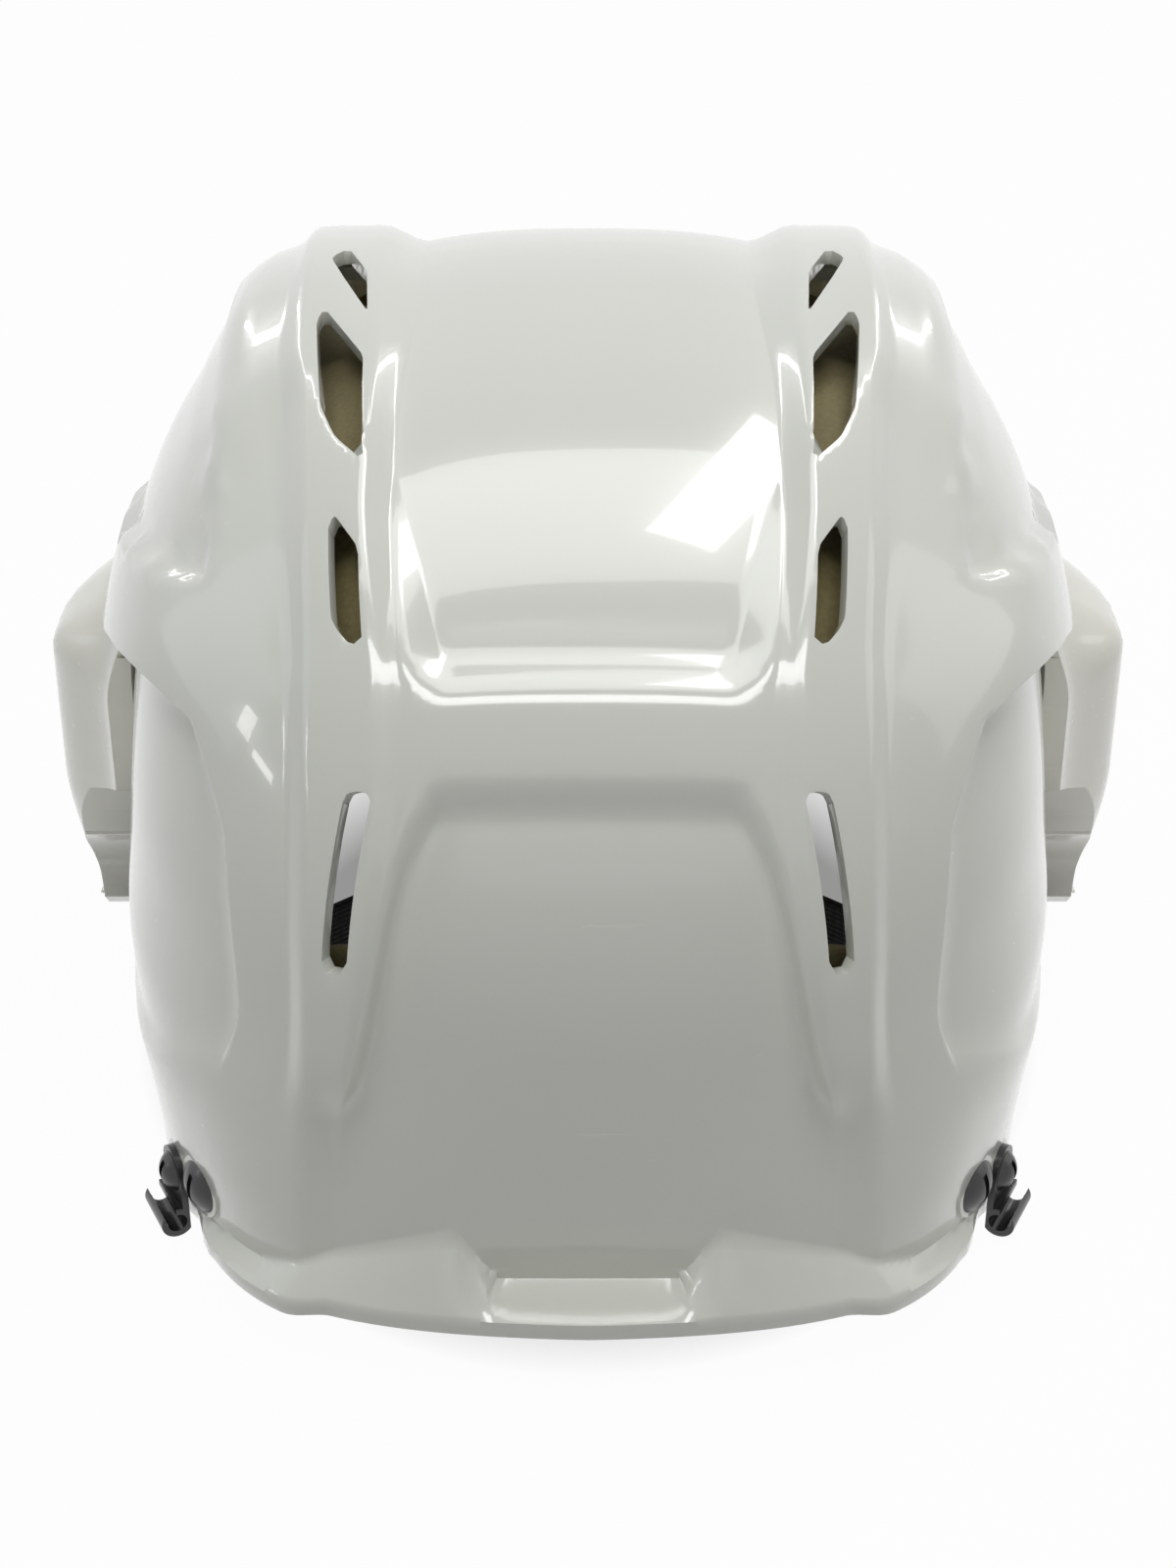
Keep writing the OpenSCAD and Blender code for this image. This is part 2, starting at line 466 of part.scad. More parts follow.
// Foam block between two fan planes, crowned towards the head, with two channels and drawn-in sides
pad_u = [-1, -0.94, -0.75, -0.42, -0.34, -0.26, 0, 0.26, 0.34, 0.42, 0.75, 0.94, 1];
pad_v = [-1, -0.92, -0.6, -0.2, 0.2, 0.6, 0.92, 1];
function seat_rise(s, t, rear) = let (p = at(s, t)) rear ? rear_rise(s, t, p) : style(s, t, p.z);
function low_rise(s, t, rear) = min([for (ds = [-6, 0, 6]) for (dt = [-4, 0, 4]) seat_rise(s + ds, t + dt, rear)]);
module pad(s0, s1, t0, t1, top, thick, rear = false) {
    function channel(u) = abs(abs(u) - 0.34) < 0.01 ? 0.72 : 1;
    function crown(u, v) = (0.5 + 0.5 * pow(1 - pow(abs(u), 6), 0.5) * pow(1 - pow(abs(v), 6), 0.5)) * channel(u);
    spots = [for (u = pad_u) for (v = pad_v) [u, v, (s0 + s1) / 2 + (s1 - s0) / 2 * u, (t0 + t1) / 2 + (t1 - t0) / 2 * v]];
    seats = [for (c = spots) min(top, low_rise(c[2], c[3], rear)) - wall - foam_gap];
    function face(k, depth) =
        [for (i = [0:len(spots) - 1])
            let (c = spots[i], s = (s0 + s1) / 2 + (s1 - s0) / 2 * c[0] * k, t = (t0 + t1) / 2 + (t1 - t0) / 2 * c[1] * k, p = at(s, t))
            p + out_dir(p) * (seats[i] - depth * crown(c[0], c[1]))];
    sheet(face(1, 0), face(0.95, thick), len(pad_u), len(pad_v));
}
rear_top = -wall - shell_gap;
module forehead_pad() { color("tan") pad(-60, 60, 21, 41.5, 0, foam_t); }
module temple_pad_right() { color("tan") pad(68, 146, 38, 54, side_h, foam_side_t); }
module temple_pad_left() { color("tan") mirror([1, 0, 0]) temple_pad_right(); }
module crown_pad_right() { color("tan") pad(5, 80, 58, 98.5, 0, foam_t); }
module crown_pad_left() { color("tan") mirror([1, 0, 0]) crown_pad_right(); }
module side_pad_right() { color("tan") pad(88, 142, 73, 98.5, side_h + flap_out, foam_side_t); }
module side_pad_left() { color("tan") mirror([1, 0, 0]) side_pad_right(); }
module rear_crown_pad() { color("tan") pad(-66, 66, 112, 134, rear_top, foam_t, true); }
module rear_side_pad_right() { color("tan") pad(78, 160, 113, 134, rear_top + side_h - 0.8, foam_side_t, true); }
module rear_side_pad_left() { color("tan") mirror([1, 0, 0]) rear_side_pad_right(); }
module occipital_pad() { color("tan") pad(-72, 72, 139, 161, rear_top, foam_t, true); }

// Chin strap: one webbing from temple to temple, standing on its edge, through the chin cup
strap_y = -48.5;
strap_z = 17;
stud_x = side_x(strap_y, strap_z, -wall) - 2.4;
stud_d = 5;
stud_hole_d = 4;
stud_deep = 2.6;
cup_y = 14.5;
cup_z = cup_h / 2 + 1.5;
web_path = [[stud_x - 4.4, strap_y - 9, 17], [stud_x - 4.4, strap_y, 17], [stud_x - 5.4, -38, 15], [84, -20, 13],
            [70, -4, 12.5], [54, 7, 14], [40, 12, 17], [30, cup_y, cup_z], [0, cup_y, cup_z]];
full_path = concat(web_path, [for (i = [len(web_path) - 2:-1:0]) [-web_path[i].x, web_path[i].y, web_path[i].z]]);
function flat_dir(v) = let (n = norm([v.x, v.y])) [v.x / n, v.y / n];
function web_side(i) =
    let (a = flat_dir(full_path[min(i + 1, len(full_path) - 1)] - full_path[i == len(full_path) - 1 ? i - 1 : i]),
         b = flat_dir(full_path[max(i, 1)] - full_path[max(i, 1) - 1]), c = flat_dir(a + b))
    [c.y, -c.x, 0];
module chin_webbing() {
    n = len(full_path);
    ring = [for (i = [0:n - 1]) let (p = full_path[i], o = web_side(i) * web_t / 2, h = [0, 0, web_w / 2])
        each [p + o - h, p + o + h, p - o + h, p - o - h]];
    faces = concat([[3, 2, 1, 0], [for (k = [0:3]) 4 * (n - 1) + k]],
        [for (i = [0:n - 2]) for (k = [0:3]) let (a = 4 * i + k, b = 4 * i + (k + 1) % 4) each [[a, b, a + 4], [b, b + 4, a + 4]]]);
    color("black") polyhedron(ring, faces, convexity = 6);
}
module snap_studs() {
    color("silver") both_sides() translate([stud_x, strap_y, strap_z]) rotate([0, 90, 0]) {
        translate([0, 0, -2.4]) cylinder(d = stud_d, h = 2.4, $fn = 32);
        cylinder(d = stud_hole_d - fit / 2, h = stud_deep - 0.1, $fn = 32);
    }
}
module snap_sockets() {
    color("silver") both_sides() translate([stud_x - 3.4, strap_y, strap_z]) rotate([0, 90, 0]) difference() {
        cylinder(d = 13, h = 2.8, $fn = 40);
        translate([0, 0, 0.8]) cylinder(d = stud_d + fit, h = 4, $fn = 32);
    }
}
module chin_cup() {
    r = 46;
    color("black") difference() {
        union() {
            intersection() {
                translate([0, cup_y + 3 + r, cup_z]) difference() {
                    sphere(r = r, $fn = 72);
                    sphere(r = r - 2.4, $fn = 72);
                }
                translate([0, 0, cup_z]) rotate([-90, 0, 0]) linear_extrude(60) {
                    square([cup_w - 16, cup_h], center = true);
                    for (x = [-1, 1]) translate([x * (cup_w - 16) / 2, 0]) scale([16 / cup_h, 1]) circle(d = cup_h, $fn = 48);
                }
            }
            translate([-15, cup_y - 3, cup_z - web_w / 2 - 2.4]) cube([30, 7.5, web_w + 4.8]);
        }
        translate([-20, cup_y - web_t / 2 - 0.3, cup_z - web_w / 2 - 0.3]) cube([40, web_t + 0.6, web_w + 0.6]);
    }
}

front_shell();
rear_shell();
forehead_pad();
temple_pad_left();
temple_pad_right();
crown_pad_left();
crown_pad_right();
side_pad_left();
side_pad_right();
rear_crown_pad();
rear_side_pad_left();
rear_side_pad_right();
occipital_pad();
visor_screws();
visor_nuts();
clip_left();
clip_right();
clip_screws();
clip_nuts();
adjust_screws();
adjust_nuts();
snap_studs();
snap_sockets();
chin_webbing();
chin_cup();
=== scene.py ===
import math
import bpy
import bmesh
from mathutils import Vector, Matrix


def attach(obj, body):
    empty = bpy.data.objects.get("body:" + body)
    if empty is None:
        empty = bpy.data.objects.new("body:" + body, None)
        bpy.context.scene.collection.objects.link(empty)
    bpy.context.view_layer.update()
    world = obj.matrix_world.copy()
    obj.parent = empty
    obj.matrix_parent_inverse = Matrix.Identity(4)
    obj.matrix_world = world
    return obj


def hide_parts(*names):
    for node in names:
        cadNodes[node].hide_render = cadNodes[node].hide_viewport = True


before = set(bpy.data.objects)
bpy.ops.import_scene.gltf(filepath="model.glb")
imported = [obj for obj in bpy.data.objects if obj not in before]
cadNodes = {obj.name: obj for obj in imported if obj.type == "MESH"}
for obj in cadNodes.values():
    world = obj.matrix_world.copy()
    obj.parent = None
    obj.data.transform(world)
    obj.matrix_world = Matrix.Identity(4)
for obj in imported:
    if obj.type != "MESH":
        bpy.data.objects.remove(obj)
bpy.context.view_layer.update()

mm = 0.001
print("frame loaded")


# Camera, floor and lamps

# place, lens and sensor in millimetres
camera = {"place": (0, -563.3, 423.5), "look": (0, 0.8387, -0.5446), "lens": 68.68, "sensor": 36}
# in metres and watts; a card lamp shows only as a reflection
lamps = [
    {"name": "topSoftbox", "place": (-0.05, 0.5, 1.5), "aim": (0, 0, 0.1),
     "size": (1.2, 0.8), "power": 8.2, "cardOnly": True},
    {"name": "overFront", "place": (0, -0.38, 1.5), "aim": (0, -0.05, 0.1),
     "size": (1.2, 0.34), "power": 9.3},
    {"name": "crownWindow", "place": (0.38, 0.72, 1.38), "aim": (0.02, -0.05, 0.16),
     "size": (0.27, 0.85), "power": 4.0},
    {"name": "leftStrip", "place": (-0.68, 1.18, 0.78), "aim": (0, 0, 0.13),
     "size": (0.03, 1.0), "power": 0.9},
    {"name": "rightStrip", "place": (0.68, 1.18, 0.78), "aim": (0, 0, 0.13),
     "size": (0.03, 1.0), "power": 0.9},
    {"name": "leftSide", "place": (-1.6, 0.3, 0.8), "aim": (-0.06, -0.05, 0.1),
     "size": (1.2, 1.0), "power": 1.8, "tint": (0.9, 0.97, 1)},
    {"name": "leftPane", "place": (-1.45, -0.25, 0.62), "aim": (-0.06, -0.09, 0.13),
     "size": (0.1, 0.22), "power": 0.45},
    {"name": "leftPaneLow", "place": (-1.45, -0.42, 0.5), "aim": (-0.06, -0.09, 0.13),
     "size": (0.16, 0.06), "power": 0.25},
    {"name": "rightSide", "place": (1.6, 0.3, 0.8), "aim": (0.06, -0.05, 0.1),
     "size": (1.2, 1.0), "power": 3.0, "tint": (1, 0.97, 0.9)},
    {"name": "frontFill", "place": (0.1, -1.9, 1.0), "aim": (0, 0, 0.08),
     "size": (1.6, 0.9), "power": 1.5},
]
# underHelmet: one over the two radii, in metres, of the oval where the helmet stands. There the floor's own
# light falls to shadeGlow, a painted shadow under the helmet, so that no white shows through the vents.
worldLight = {"strength": 0.09, "floorGlow": 0.97, "floorTone": (205, 205, 204), "floorHalf": 3,
              "underHelmet": (11, 9), "underEdge": (0.8, 1.15), "shadeGlow": 0.3}


def addCamera():
    data = bpy.data.cameras.new("camera")
    data.lens = camera["lens"]
    data.sensor_width = camera["sensor"]
    data.clip_start = 0.01
    eye = bpy.data.objects.new("camera", data)
    eye.location = Vector(camera["place"]) * mm
    eye.rotation_mode = "QUATERNION"
    eye.rotation_quaternion = Vector(camera["look"]).to_track_quat("-Z", "Y")
    bpy.context.scene.collection.objects.link(eye)
    bpy.context.scene.camera = eye


def addLamp(item):
    data = bpy.data.lights.new(item["name"], "AREA")
    data.shape = "RECTANGLE"
    data.size, data.size_y = item["size"]
    data.energy = item["power"]
    data.color = item.get("tint", (1, 1, 1))
    lamp = bpy.data.objects.new(item["name"], data)
    lamp.visible_diffuse = not item.get("cardOnly", False)
    lamp.location = item["place"]
    lamp.rotation_mode = "QUATERNION"
    lamp.rotation_quaternion = (Vector(item["aim"]) - Vector(item["place"])).to_track_quat("-Z", "Y")
    bpy.context.scene.collection.objects.link(lamp)


# Shader maths: a wrapped socket that takes part in expressions

class Wire:
    def __init__(self, tree, socket=None):
        self.tree = tree
        self.socket = socket

    def make(self, kind, settings=None, inputs=None, out=0):
        node = self.tree.nodes.new(kind)
        for key, value in (settings or {}).items():
            if key == "stops":
                while len(node.color_ramp.elements) < len(value):
                    node.color_ramp.elements.new(0.5)
                for element, (place, shade) in zip(node.color_ramp.elements, value):
                    element.position = place
                    element.color = shade
            else:
                setattr(node, key, value)
        for key, value in (inputs or {}).items():
            if isinstance(value, Wire):
                self.tree.links.new(value.socket, node.inputs[key])
            else:
                node.inputs[key].default_value = value
        return Wire(self.tree, node.outputs[out])

    def math(self, operation, first, second=0.0):
        return self.make("ShaderNodeMath", {"operation": operation}, {0: first, 1: second})

    def __add__(self, other):
        return self.math("ADD", self, other)

    def __radd__(self, other):
        return self.math("ADD", other, self)

    def __sub__(self, other):
        return self.math("SUBTRACT", self, other)

    def __rsub__(self, other):
        return self.math("SUBTRACT", other, self)

    def __mul__(self, other):
        return self.math("MULTIPLY", self, other)

    def __rmul__(self, other):
        return self.math("MULTIPLY", other, self)

    def part(self, name):
        return Wire(self.tree, self.socket.node.outputs[name])


def srgb(r, g, b):
    def one(v):
        v = v / 255
        return v / 12.92 if v <= 0.04045 else ((v + 0.055) / 1.055) ** 2.4
    return (one(r), one(g), one(b), 1)


def newMaterial(name):
    material = bpy.data.materials.new(name)
    material.use_nodes = True
    tree = material.node_tree
    shader = tree.nodes["Principled BSDF"]
    return material, shader, Wire(tree)


def setShader(shader, **values):
    for key, value in values.items():
        socket = shader.inputs[key.replace("_", " ")]
        if isinstance(value, Wire):
            value.tree.links.new(value.socket, socket)
        else:
            socket.default_value = value


def objectPlace(wire):
    return wire.make("ShaderNodeTexCoord", out="Object")


def stretched(wire, place, scale, turn=(0, 0, 0)):
    return wire.make("ShaderNodeMapping", {}, {"Vector": place, "Rotation": turn, "Scale": scale})


def noiseAt(wire, place, scale, detail=3.0, rough=0.5):
    return wire.make("ShaderNodeTexNoise", {},
                     {"Vector": place, "Scale": scale, "Detail": detail, "Roughness": rough})


def blendColour(wire, factor, first, second):
    return wire.make("ShaderNodeMix", {"data_type": "RGBA"}, {0: factor, 6: first, 7: second}, 2)


def bumpFrom(wire, height, strength, distance):
    return wire.make("ShaderNodeBump", {}, {"Height": height, "Strength": strength, "Distance": distance})


# Glossy moulded shell: slow waviness, fine peel, faint hairline scuffs in the gloss
shellFinish = {
    "shellWhite": {"pale": (233, 235, 227), "deep": (225, 227, 218), "gloss": 0.161},
    "shellCream": {"pale": (246, 245, 235), "deep": (239, 238, 226), "gloss": 0.201},
}


def shellMaterial(name):
    finish = shellFinish[name]
    pale, deep = srgb(*finish["pale"]), srgb(*finish["deep"])
    material, shader, wire = newMaterial(name)
    place = objectPlace(wire)
    tone = noiseAt(wire, place, 9.0, 2.0)
    flecks = noiseAt(wire, place, 900.0, 2.0)
    scuff = noiseAt(wire, stretched(wire, place, (40, 600, 600), (0.4, 0.7, 0.2)), 1.0, 4.0)
    scuffMask = wire.make("ShaderNodeValToRGB", {"stops": [(0.62, (0, 0, 0, 1)), (0.75, (1, 1, 1, 1))]},
                          {"Fac": scuff})
    wave = noiseAt(wire, place, 28.0, 2.0)
    peel = noiseAt(wire, place, 420.0, 2.0)
    speck = wire.math("GREATER_THAN", flecks, 0.74)
    colour = blendColour(wire, tone, deep, pale)
    setShader(shader, Base_Color=blendColour(wire, speck * 0.12, colour, deep),
              Roughness=finish["gloss"] + scuffMask * 0.09 + tone * 0.05,
              Coat_Weight=0.7, Coat_Roughness=0.035, Coat_IOR=1.5, IOR=1.48,
              Normal=bumpFrom(wire, wave + peel * 0.012, 0.06, 0.0016))
    return material


# Closed-cell foam: soft mottling and a cellular skin
foamFinish = {"deep": (126, 114, 72), "pale": (158, 146, 98), "pore": (108, 97, 60), "cells": 900.0}


def foamMaterial():
    material, shader, wire = newMaterial("linerFoam")
    place = objectPlace(wire)
    tone = noiseAt(wire, place, 38.0, 5.0, 0.6)
    cells = wire.make("ShaderNodeTexVoronoi", {"feature": "F1"},
                      {"Vector": place, "Scale": foamFinish["cells"]})
    fuzz = noiseAt(wire, place, 1600.0, 2.0)
    colour = blendColour(wire, tone, srgb(*foamFinish["deep"]), srgb(*foamFinish["pale"]))
    setShader(shader, Base_Color=blendColour(wire, cells * 0.5, colour, srgb(*foamFinish["pore"])),
              Roughness=0.78 + tone * 0.15, Sheen_Weight=0.25, Sheen_Roughness=0.6,
              Normal=bumpFrom(wire, cells * 0.7 + fuzz * 0.3, 0.35, 0.0004))
    return material


# Coated black steel, and the duller nylon of the chin cup
blackFinish = {
    "deep": (18, 19, 21), "pale": (34, 35, 37),
    "blackCoat": {"rough": 0.26, "grain": 0.12},
    "cupPlastic": {"rough": 0.5, "grain": 0.35},
}


def blackMaterial(name):
    finish = blackFinish[name]
    material, shader, wire = newMaterial(name)
    place = objectPlace(wire)
    tone = noiseAt(wire, place, 260.0, 4.0)
    fine = noiseAt(wire, place, 1900.0, 2.0)
    colour = blendColour(wire, tone, srgb(*blackFinish["deep"]), srgb(*blackFinish["pale"]))
    setShader(shader, Base_Color=colour, Roughness=finish["rough"] + tone * 0.12,
              Coat_Weight=0.25, Coat_Roughness=0.15,
              Normal=bumpFrom(wire, fine + tone * 0.6, finish["grain"], 0.0002))
    return material


# Plated steel with turning lines
steelFinish = {"deep": (150, 150, 148), "pale": (188, 188, 184)}


def steelMaterial():
    material, shader, wire = newMaterial("platedSteel")
    place = objectPlace(wire)
    lines = noiseAt(wire, stretched(wire, place, (300, 300, 3000)), 1.0, 3.0)
    tone = noiseAt(wire, place, 180.0, 4.0)
    colour = blendColour(wire, tone, srgb(*steelFinish["deep"]), srgb(*steelFinish["pale"]))
    setShader(shader, Base_Color=colour, Metallic=1.0, Roughness=0.24 + lines * 0.2,
              Normal=bumpFrom(wire, lines, 0.15, 0.0001))
    return material


# Woven webbing: u runs along the band and v across it, both in metres
weaveFinish = {"deep": (10, 10, 11), "pale": (40, 40, 42), "rib": 0.0022, "pick": 0.0013}


def webbingMaterial():
    material, shader, wire = newMaterial("wovenWebbing")
    split = wire.make("ShaderNodeSeparateXYZ", {}, {0: wire.make("ShaderNodeUVMap", {"uv_map": "weave"})})
    ribs = wire.math("SINE", split * (2 * math.pi / weaveFinish["rib"])) * 0.5 + 0.5
    picks = wire.math("SINE", split.part("Y") * (2 * math.pi / weaveFinish["pick"])) * 0.5 + 0.5
    weave = ribs * 0.6 + picks * 0.5 + (ribs * picks) * 0.4
    fray = noiseAt(wire, objectPlace(wire), 1500.0, 3.0)
    colour = blendColour(wire, weave * 0.6, srgb(*weaveFinish["deep"]), srgb(*weaveFinish["pale"]))
    setShader(shader, Base_Color=colour, Roughness=0.62 + fray * 0.2, Sheen_Weight=0.3, Sheen_Roughness=0.5,
              Normal=bumpFrom(wire, weave + fray * 0.35, 0.7, 0.0003))
    return material


def straightRays(wire):
    # 1 for what the camera sees, by itself or in gloss and glass
    rays = wire.make("ShaderNodeLightPath", out="Is Camera Ray")
    mirrored = wire.math("MAXIMUM", rays.part("Is Glossy Ray"), rays.part("Is Transmission Ray"))
    return wire.math("MAXIMUM", rays, mirrored)


# Pale floor: partly its own light to the camera, so it is near white and still keeps the shadow; under the
# helmet that light falls, a painted shadow
def floorMaterial():
    material, shader, wire = newMaterial("paleFloor")
    place = objectPlace(wire)
    grey = worldLight["floorTone"]
    tone = blendColour(wire, noiseAt(wire, place, 3.0, 3.0), srgb(*grey), srgb(*[v + 4 for v in grey]))
    setShader(shader, Base_Color=tone, Roughness=0.9)
    # painted shadow: in an oval under the helmet the floor's own light falls to shadeGlow, so the floor is
    # darker there
    oval = stretched(wire, place, (*worldLight["underHelmet"], 0))
    apart = wire.make("ShaderNodeVectorMath", {"operation": "LENGTH"}, {0: oval}, 1)
    inner, outer = worldLight["underEdge"]
    paintedShadowMask = wire.make("ShaderNodeMapRange", {}, {0: apart, 1: inner, 2: outer, 3: worldLight["shadeGlow"]})
    glow = wire.make("ShaderNodeEmission", {}, {"Color": (1, 1, 1, 1), "Strength": 1.0})
    share = straightRays(wire) * paintedShadowMask * worldLight["floorGlow"]
    mix = wire.make("ShaderNodeMixShader", {}, {0: share, 1: Wire(wire.tree, shader.outputs[0]), 2: glow})
    wire.tree.links.new(mix.socket, wire.tree.nodes["Material Output"].inputs["Surface"])
    return material


def buildStage():
    bm = bmesh.new()
    bmesh.ops.create_grid(bm, x_segments=2, y_segments=2, size=worldLight["floorHalf"])
    mesh = bpy.data.meshes.new("floor")
    bm.to_mesh(mesh)
    bm.free()
    floor = bpy.data.objects.new("floor", mesh)
    bpy.context.scene.collection.objects.link(floor)
    floor.data.materials.append(floorMaterial())
    world = bpy.data.worlds.new("studio")
    world.use_nodes = True
    bpy.context.scene.world = world
    wire = Wire(world.node_tree)
    back = world.node_tree.nodes["Background"]
    back.inputs["Color"].default_value = (1, 1, 1, 1)
    straight = straightRays(wire)
    strength = straight + (1 - straight) * worldLight["strength"]
    world.node_tree.links.new(strength.socket, back.inputs["Strength"])


addCamera()
for lampItem in lamps:
    addLamp(lampItem)
buildStage()
bpy.context.scene.view_settings.view_transform = "Standard"
print("stage set")


# The dome both shells share: a rounded box about a middle point, laid out by a fan of planes about a low
# sideways axis. t is a plane's angle over the table, s the distance sideways on the middle of the shell.
dome = {"width": 200, "front": 139, "back": 121, "rise": 96, "low": 230, "y": 15.5, "z": 72,
        "expLong": 2.35, "expSide": 2.6, "expLow": 0.8}
fan = {"y": 11.5, "z": -17, "ball": 145}
domeMid = Vector((0, dome["y"], dome["z"]))
reachKept = {}


def clamp(v):
    return min(1.0, max(0.0, v))


def ramp(a, b, v):
    # a soft step from 0 at a to 1 at b
    k = clamp((v - a) / (b - a))
    return k * k * (3 - 2 * k)


def chamfer(a, b, v, crisp):
    # from a soft step, crisp 0, to a straight slope with its two edges just rounded, crisp 1
    soft = ramp(a, b, v)
    return soft + 0.75 * crisp * (clamp((v - a) / (b - a)) - soft)


def crossing(low, high, halvings, past):
    # the place between low and high from which past is true
    for _ in range(halvings):
        middle = (low + high) / 2
        if past(middle):
            high = middle
        else:
            low = middle
    return (low + high) / 2


def between(v, rows):
    # straight lines through the rows of (place, value)
    if v <= rows[0][0]:
        return rows[0][1]
    for (a, p), (b, q) in zip(rows, rows[1:]):
        if v <= b:
            return p + (q - p) * (v - a) / (b - a)
    return rows[-1][1]


def profileGauge(y, z):
    long = dome["front"] if y < 0 else dome["back"]
    tall = dome["rise"] if z > 0 else dome["low"]
    power = dome["expLong"]
    return ((abs(y) / long) ** power + (abs(z) / tall) ** power) ** (1 / power)


def domeSkin(phi, t):
    p, a = math.radians(phi), math.radians(t)
    e = Vector((math.sin(p), -math.cos(p) * math.cos(a), math.cos(p) * math.sin(a)))
    low = Vector((0, fan["y"] - dome["y"], fan["z"] - dome["z"]))
    k = low.dot(e)
    q = low + (math.sqrt(k * k - low.dot(low) + fan["ball"] ** 2) - k) * e
    power = dome["expSide"] + dome["expLow"] * ramp(0.1, -0.4, q.z / q.length)
    size = ((abs(q.x) * 2 / dome["width"]) ** power + profileGauge(q.y, q.z) ** power) ** (1 / power)
    return q / size + domeMid


def outDir(p):
    q = p - domeMid
    power = dome["expSide"] + dome["expLow"] * ramp(0.1, -0.4, q.z / q.length)
    long = dome["front"] if q.y < 0 else dome["back"]
    tall = dome["rise"] if q.z > 0 else dome["low"]
    half = dome["width"] / 2
    g = max(profileGauge(q.y, q.z), 0.001) ** (power - dome["expLong"])
    n = Vector((math.copysign((abs(q.x) / half) ** (power - 1) / half, q.x),
                g * math.copysign((abs(q.y) / long) ** (dome["expLong"] - 1) / long, q.y),
                g * math.copysign((abs(q.z) / tall) ** (dome["expLong"] - 1) / tall, q.z)))
    return n.normalized()


def fanT(p):
    return math.degrees(math.atan2(p.z - fan["z"], fan["y"] - p.y))


def fanPhi(p):
    return math.degrees(math.atan2(p.x, math.hypot(p.y - fan["y"], p.z - fan["z"])))


def reach(t):
    key = round(t, 6)
    if key not in reachKept:
        p = domeSkin(0, 2 * t - fanT(domeSkin(0, t)))
        reachKept[key] = math.hypot(p.y - fan["y"], p.z - fan["z"])
    return reachKept[key]


def onDome(s, t):
    phi = math.degrees(math.atan(s / reach(t)))
    p = domeSkin(phi, t)
    return domeSkin(2 * phi - fanPhi(p), 2 * t - fanT(p))


def angleAt(s, z):
    return crossing(0.0, 60.0, 18, lambda t: onDome(s, t).z > z)


# Style lines of the front shell and how far its face stands over the dome
front = {"wall": 3.0, "ridge": 6.0, "ridgeIn": 42, "ridgeOut": 57, "ridgeSlope": 6, "shoulder": 4,
         "crest": 4.0, "crestIn": 60, "band": 4.5, "bandEnd": 71.5, "bandFade": 13.8, "bandSlope": 4,
         "panel": 26, "brow": 29, "side": 3.0, "field": 3, "recess": 4.5, "flapZ": 95, "flapOut": 3.5,
         "waist": 6.0, "lip": 11, "lipTop": 19, "lipRim": 4, "notch": 17, "browZ": 15, "temple": 133,
         "seam": 108.6, "end": 256, "edge": 1.2}
# Where a form comes in, from nothing to full: by t, sideways x or height z, as its name ends
fades = {"ridgeT": (28, 36), "crispT": (104, 90), "innerCrispT": (58, 66), "crestT": (70, 98),
         "crestBackT": (138, 112), "crestX": (104, 78), "shoulderT": (78, 100), "softEdgeT": (54, 50),
         "recessTopT": (51.5, 48.5), "panelT": (55.2, 59), "bandT": (30, 38), "cheekX": (50, 60),
         "cheekT": (36, 28), "flareT": (50, 66), "flareMoveT": (58, 84), "endT": (84, 101),
         "waistZ": (66, 14), "waistX": (50, 105), "waistT": (84, 70), "fieldX": (79, 84),
         "fieldT": (66, 69), "fieldEdgeX": (1.5, -2.5), "templeDeepT": (45, 70), "templeT": (34, 37),
         "lipX": (112, 86)}


def ridgeInner(t):
    i = front["ridgeIn"]
    return between(t, [(28, i + 10), (33, i + 5.5), (39, i + 2), (44, i - 1), (50, i - 3.5),
                       (57, i - 3.5), (68, i), (85, i + 1.5), (100, i + 4.5)])


def ridgeOuter(t):
    o = front["ridgeOut"]
    return between(t, [(28, o + 1), (33, o - 1.5), (39, o - 3.5), (50, o - 5.5), (59, o - 6), (85, o + 2)])


# The edge around the forehead recess and the crown panel: its foot, then its top
def edgeLow(t):
    i, b, p = front["ridgeIn"], front["brow"], front["panel"]
    return between(t, [(28, i + 4.5), (37, i - 1.5), (43.4, i - 6.6), (46.6, b + 3), (49.5, b - 3),
                       (57.7, p - 0.5), (71.5, i - 5), (100, i - 8)])


def edgeHigh(t):
    i, b, p = front["ridgeIn"], front["brow"], front["panel"]
    return between(t, [(28, i + 7.5), (37, i + 1), (43.4, i - 3.4), (46.6, b + 6.8), (49.5, b + 3.4),
                       (53.5, b + 1.5), (56.2, p + 4), (57, p + 6.3), (59, p + 7.9), (62.7, i - 6.6),
                       (66.7, i - 5.4), (71.5, i - 4.4), (100, i - 5.5)])


def flapS(t):
    # where a plane of the fan meets the height of the flap's edge
    c = front["flapZ"] - fan["z"]
    g = profileGauge(fan["y"] - c / math.tan(math.radians(t)) - dome["y"], front["flapZ"] - dome["z"])
    width = dome["width"] / 2 * max(0.0, 1 - g ** dome["expSide"]) ** (1 / dome["expSide"])
    return reach(t) * width * math.sin(math.radians(t)) / c


def flapLine(t):
    if t > 85:
        return flapS(t)
    return between(t, [(28, 92), (34, 82), (38, 76), (50, 76), (57.4, 84), (67, 117), (76, 145),
                       (85, flapS(85))])


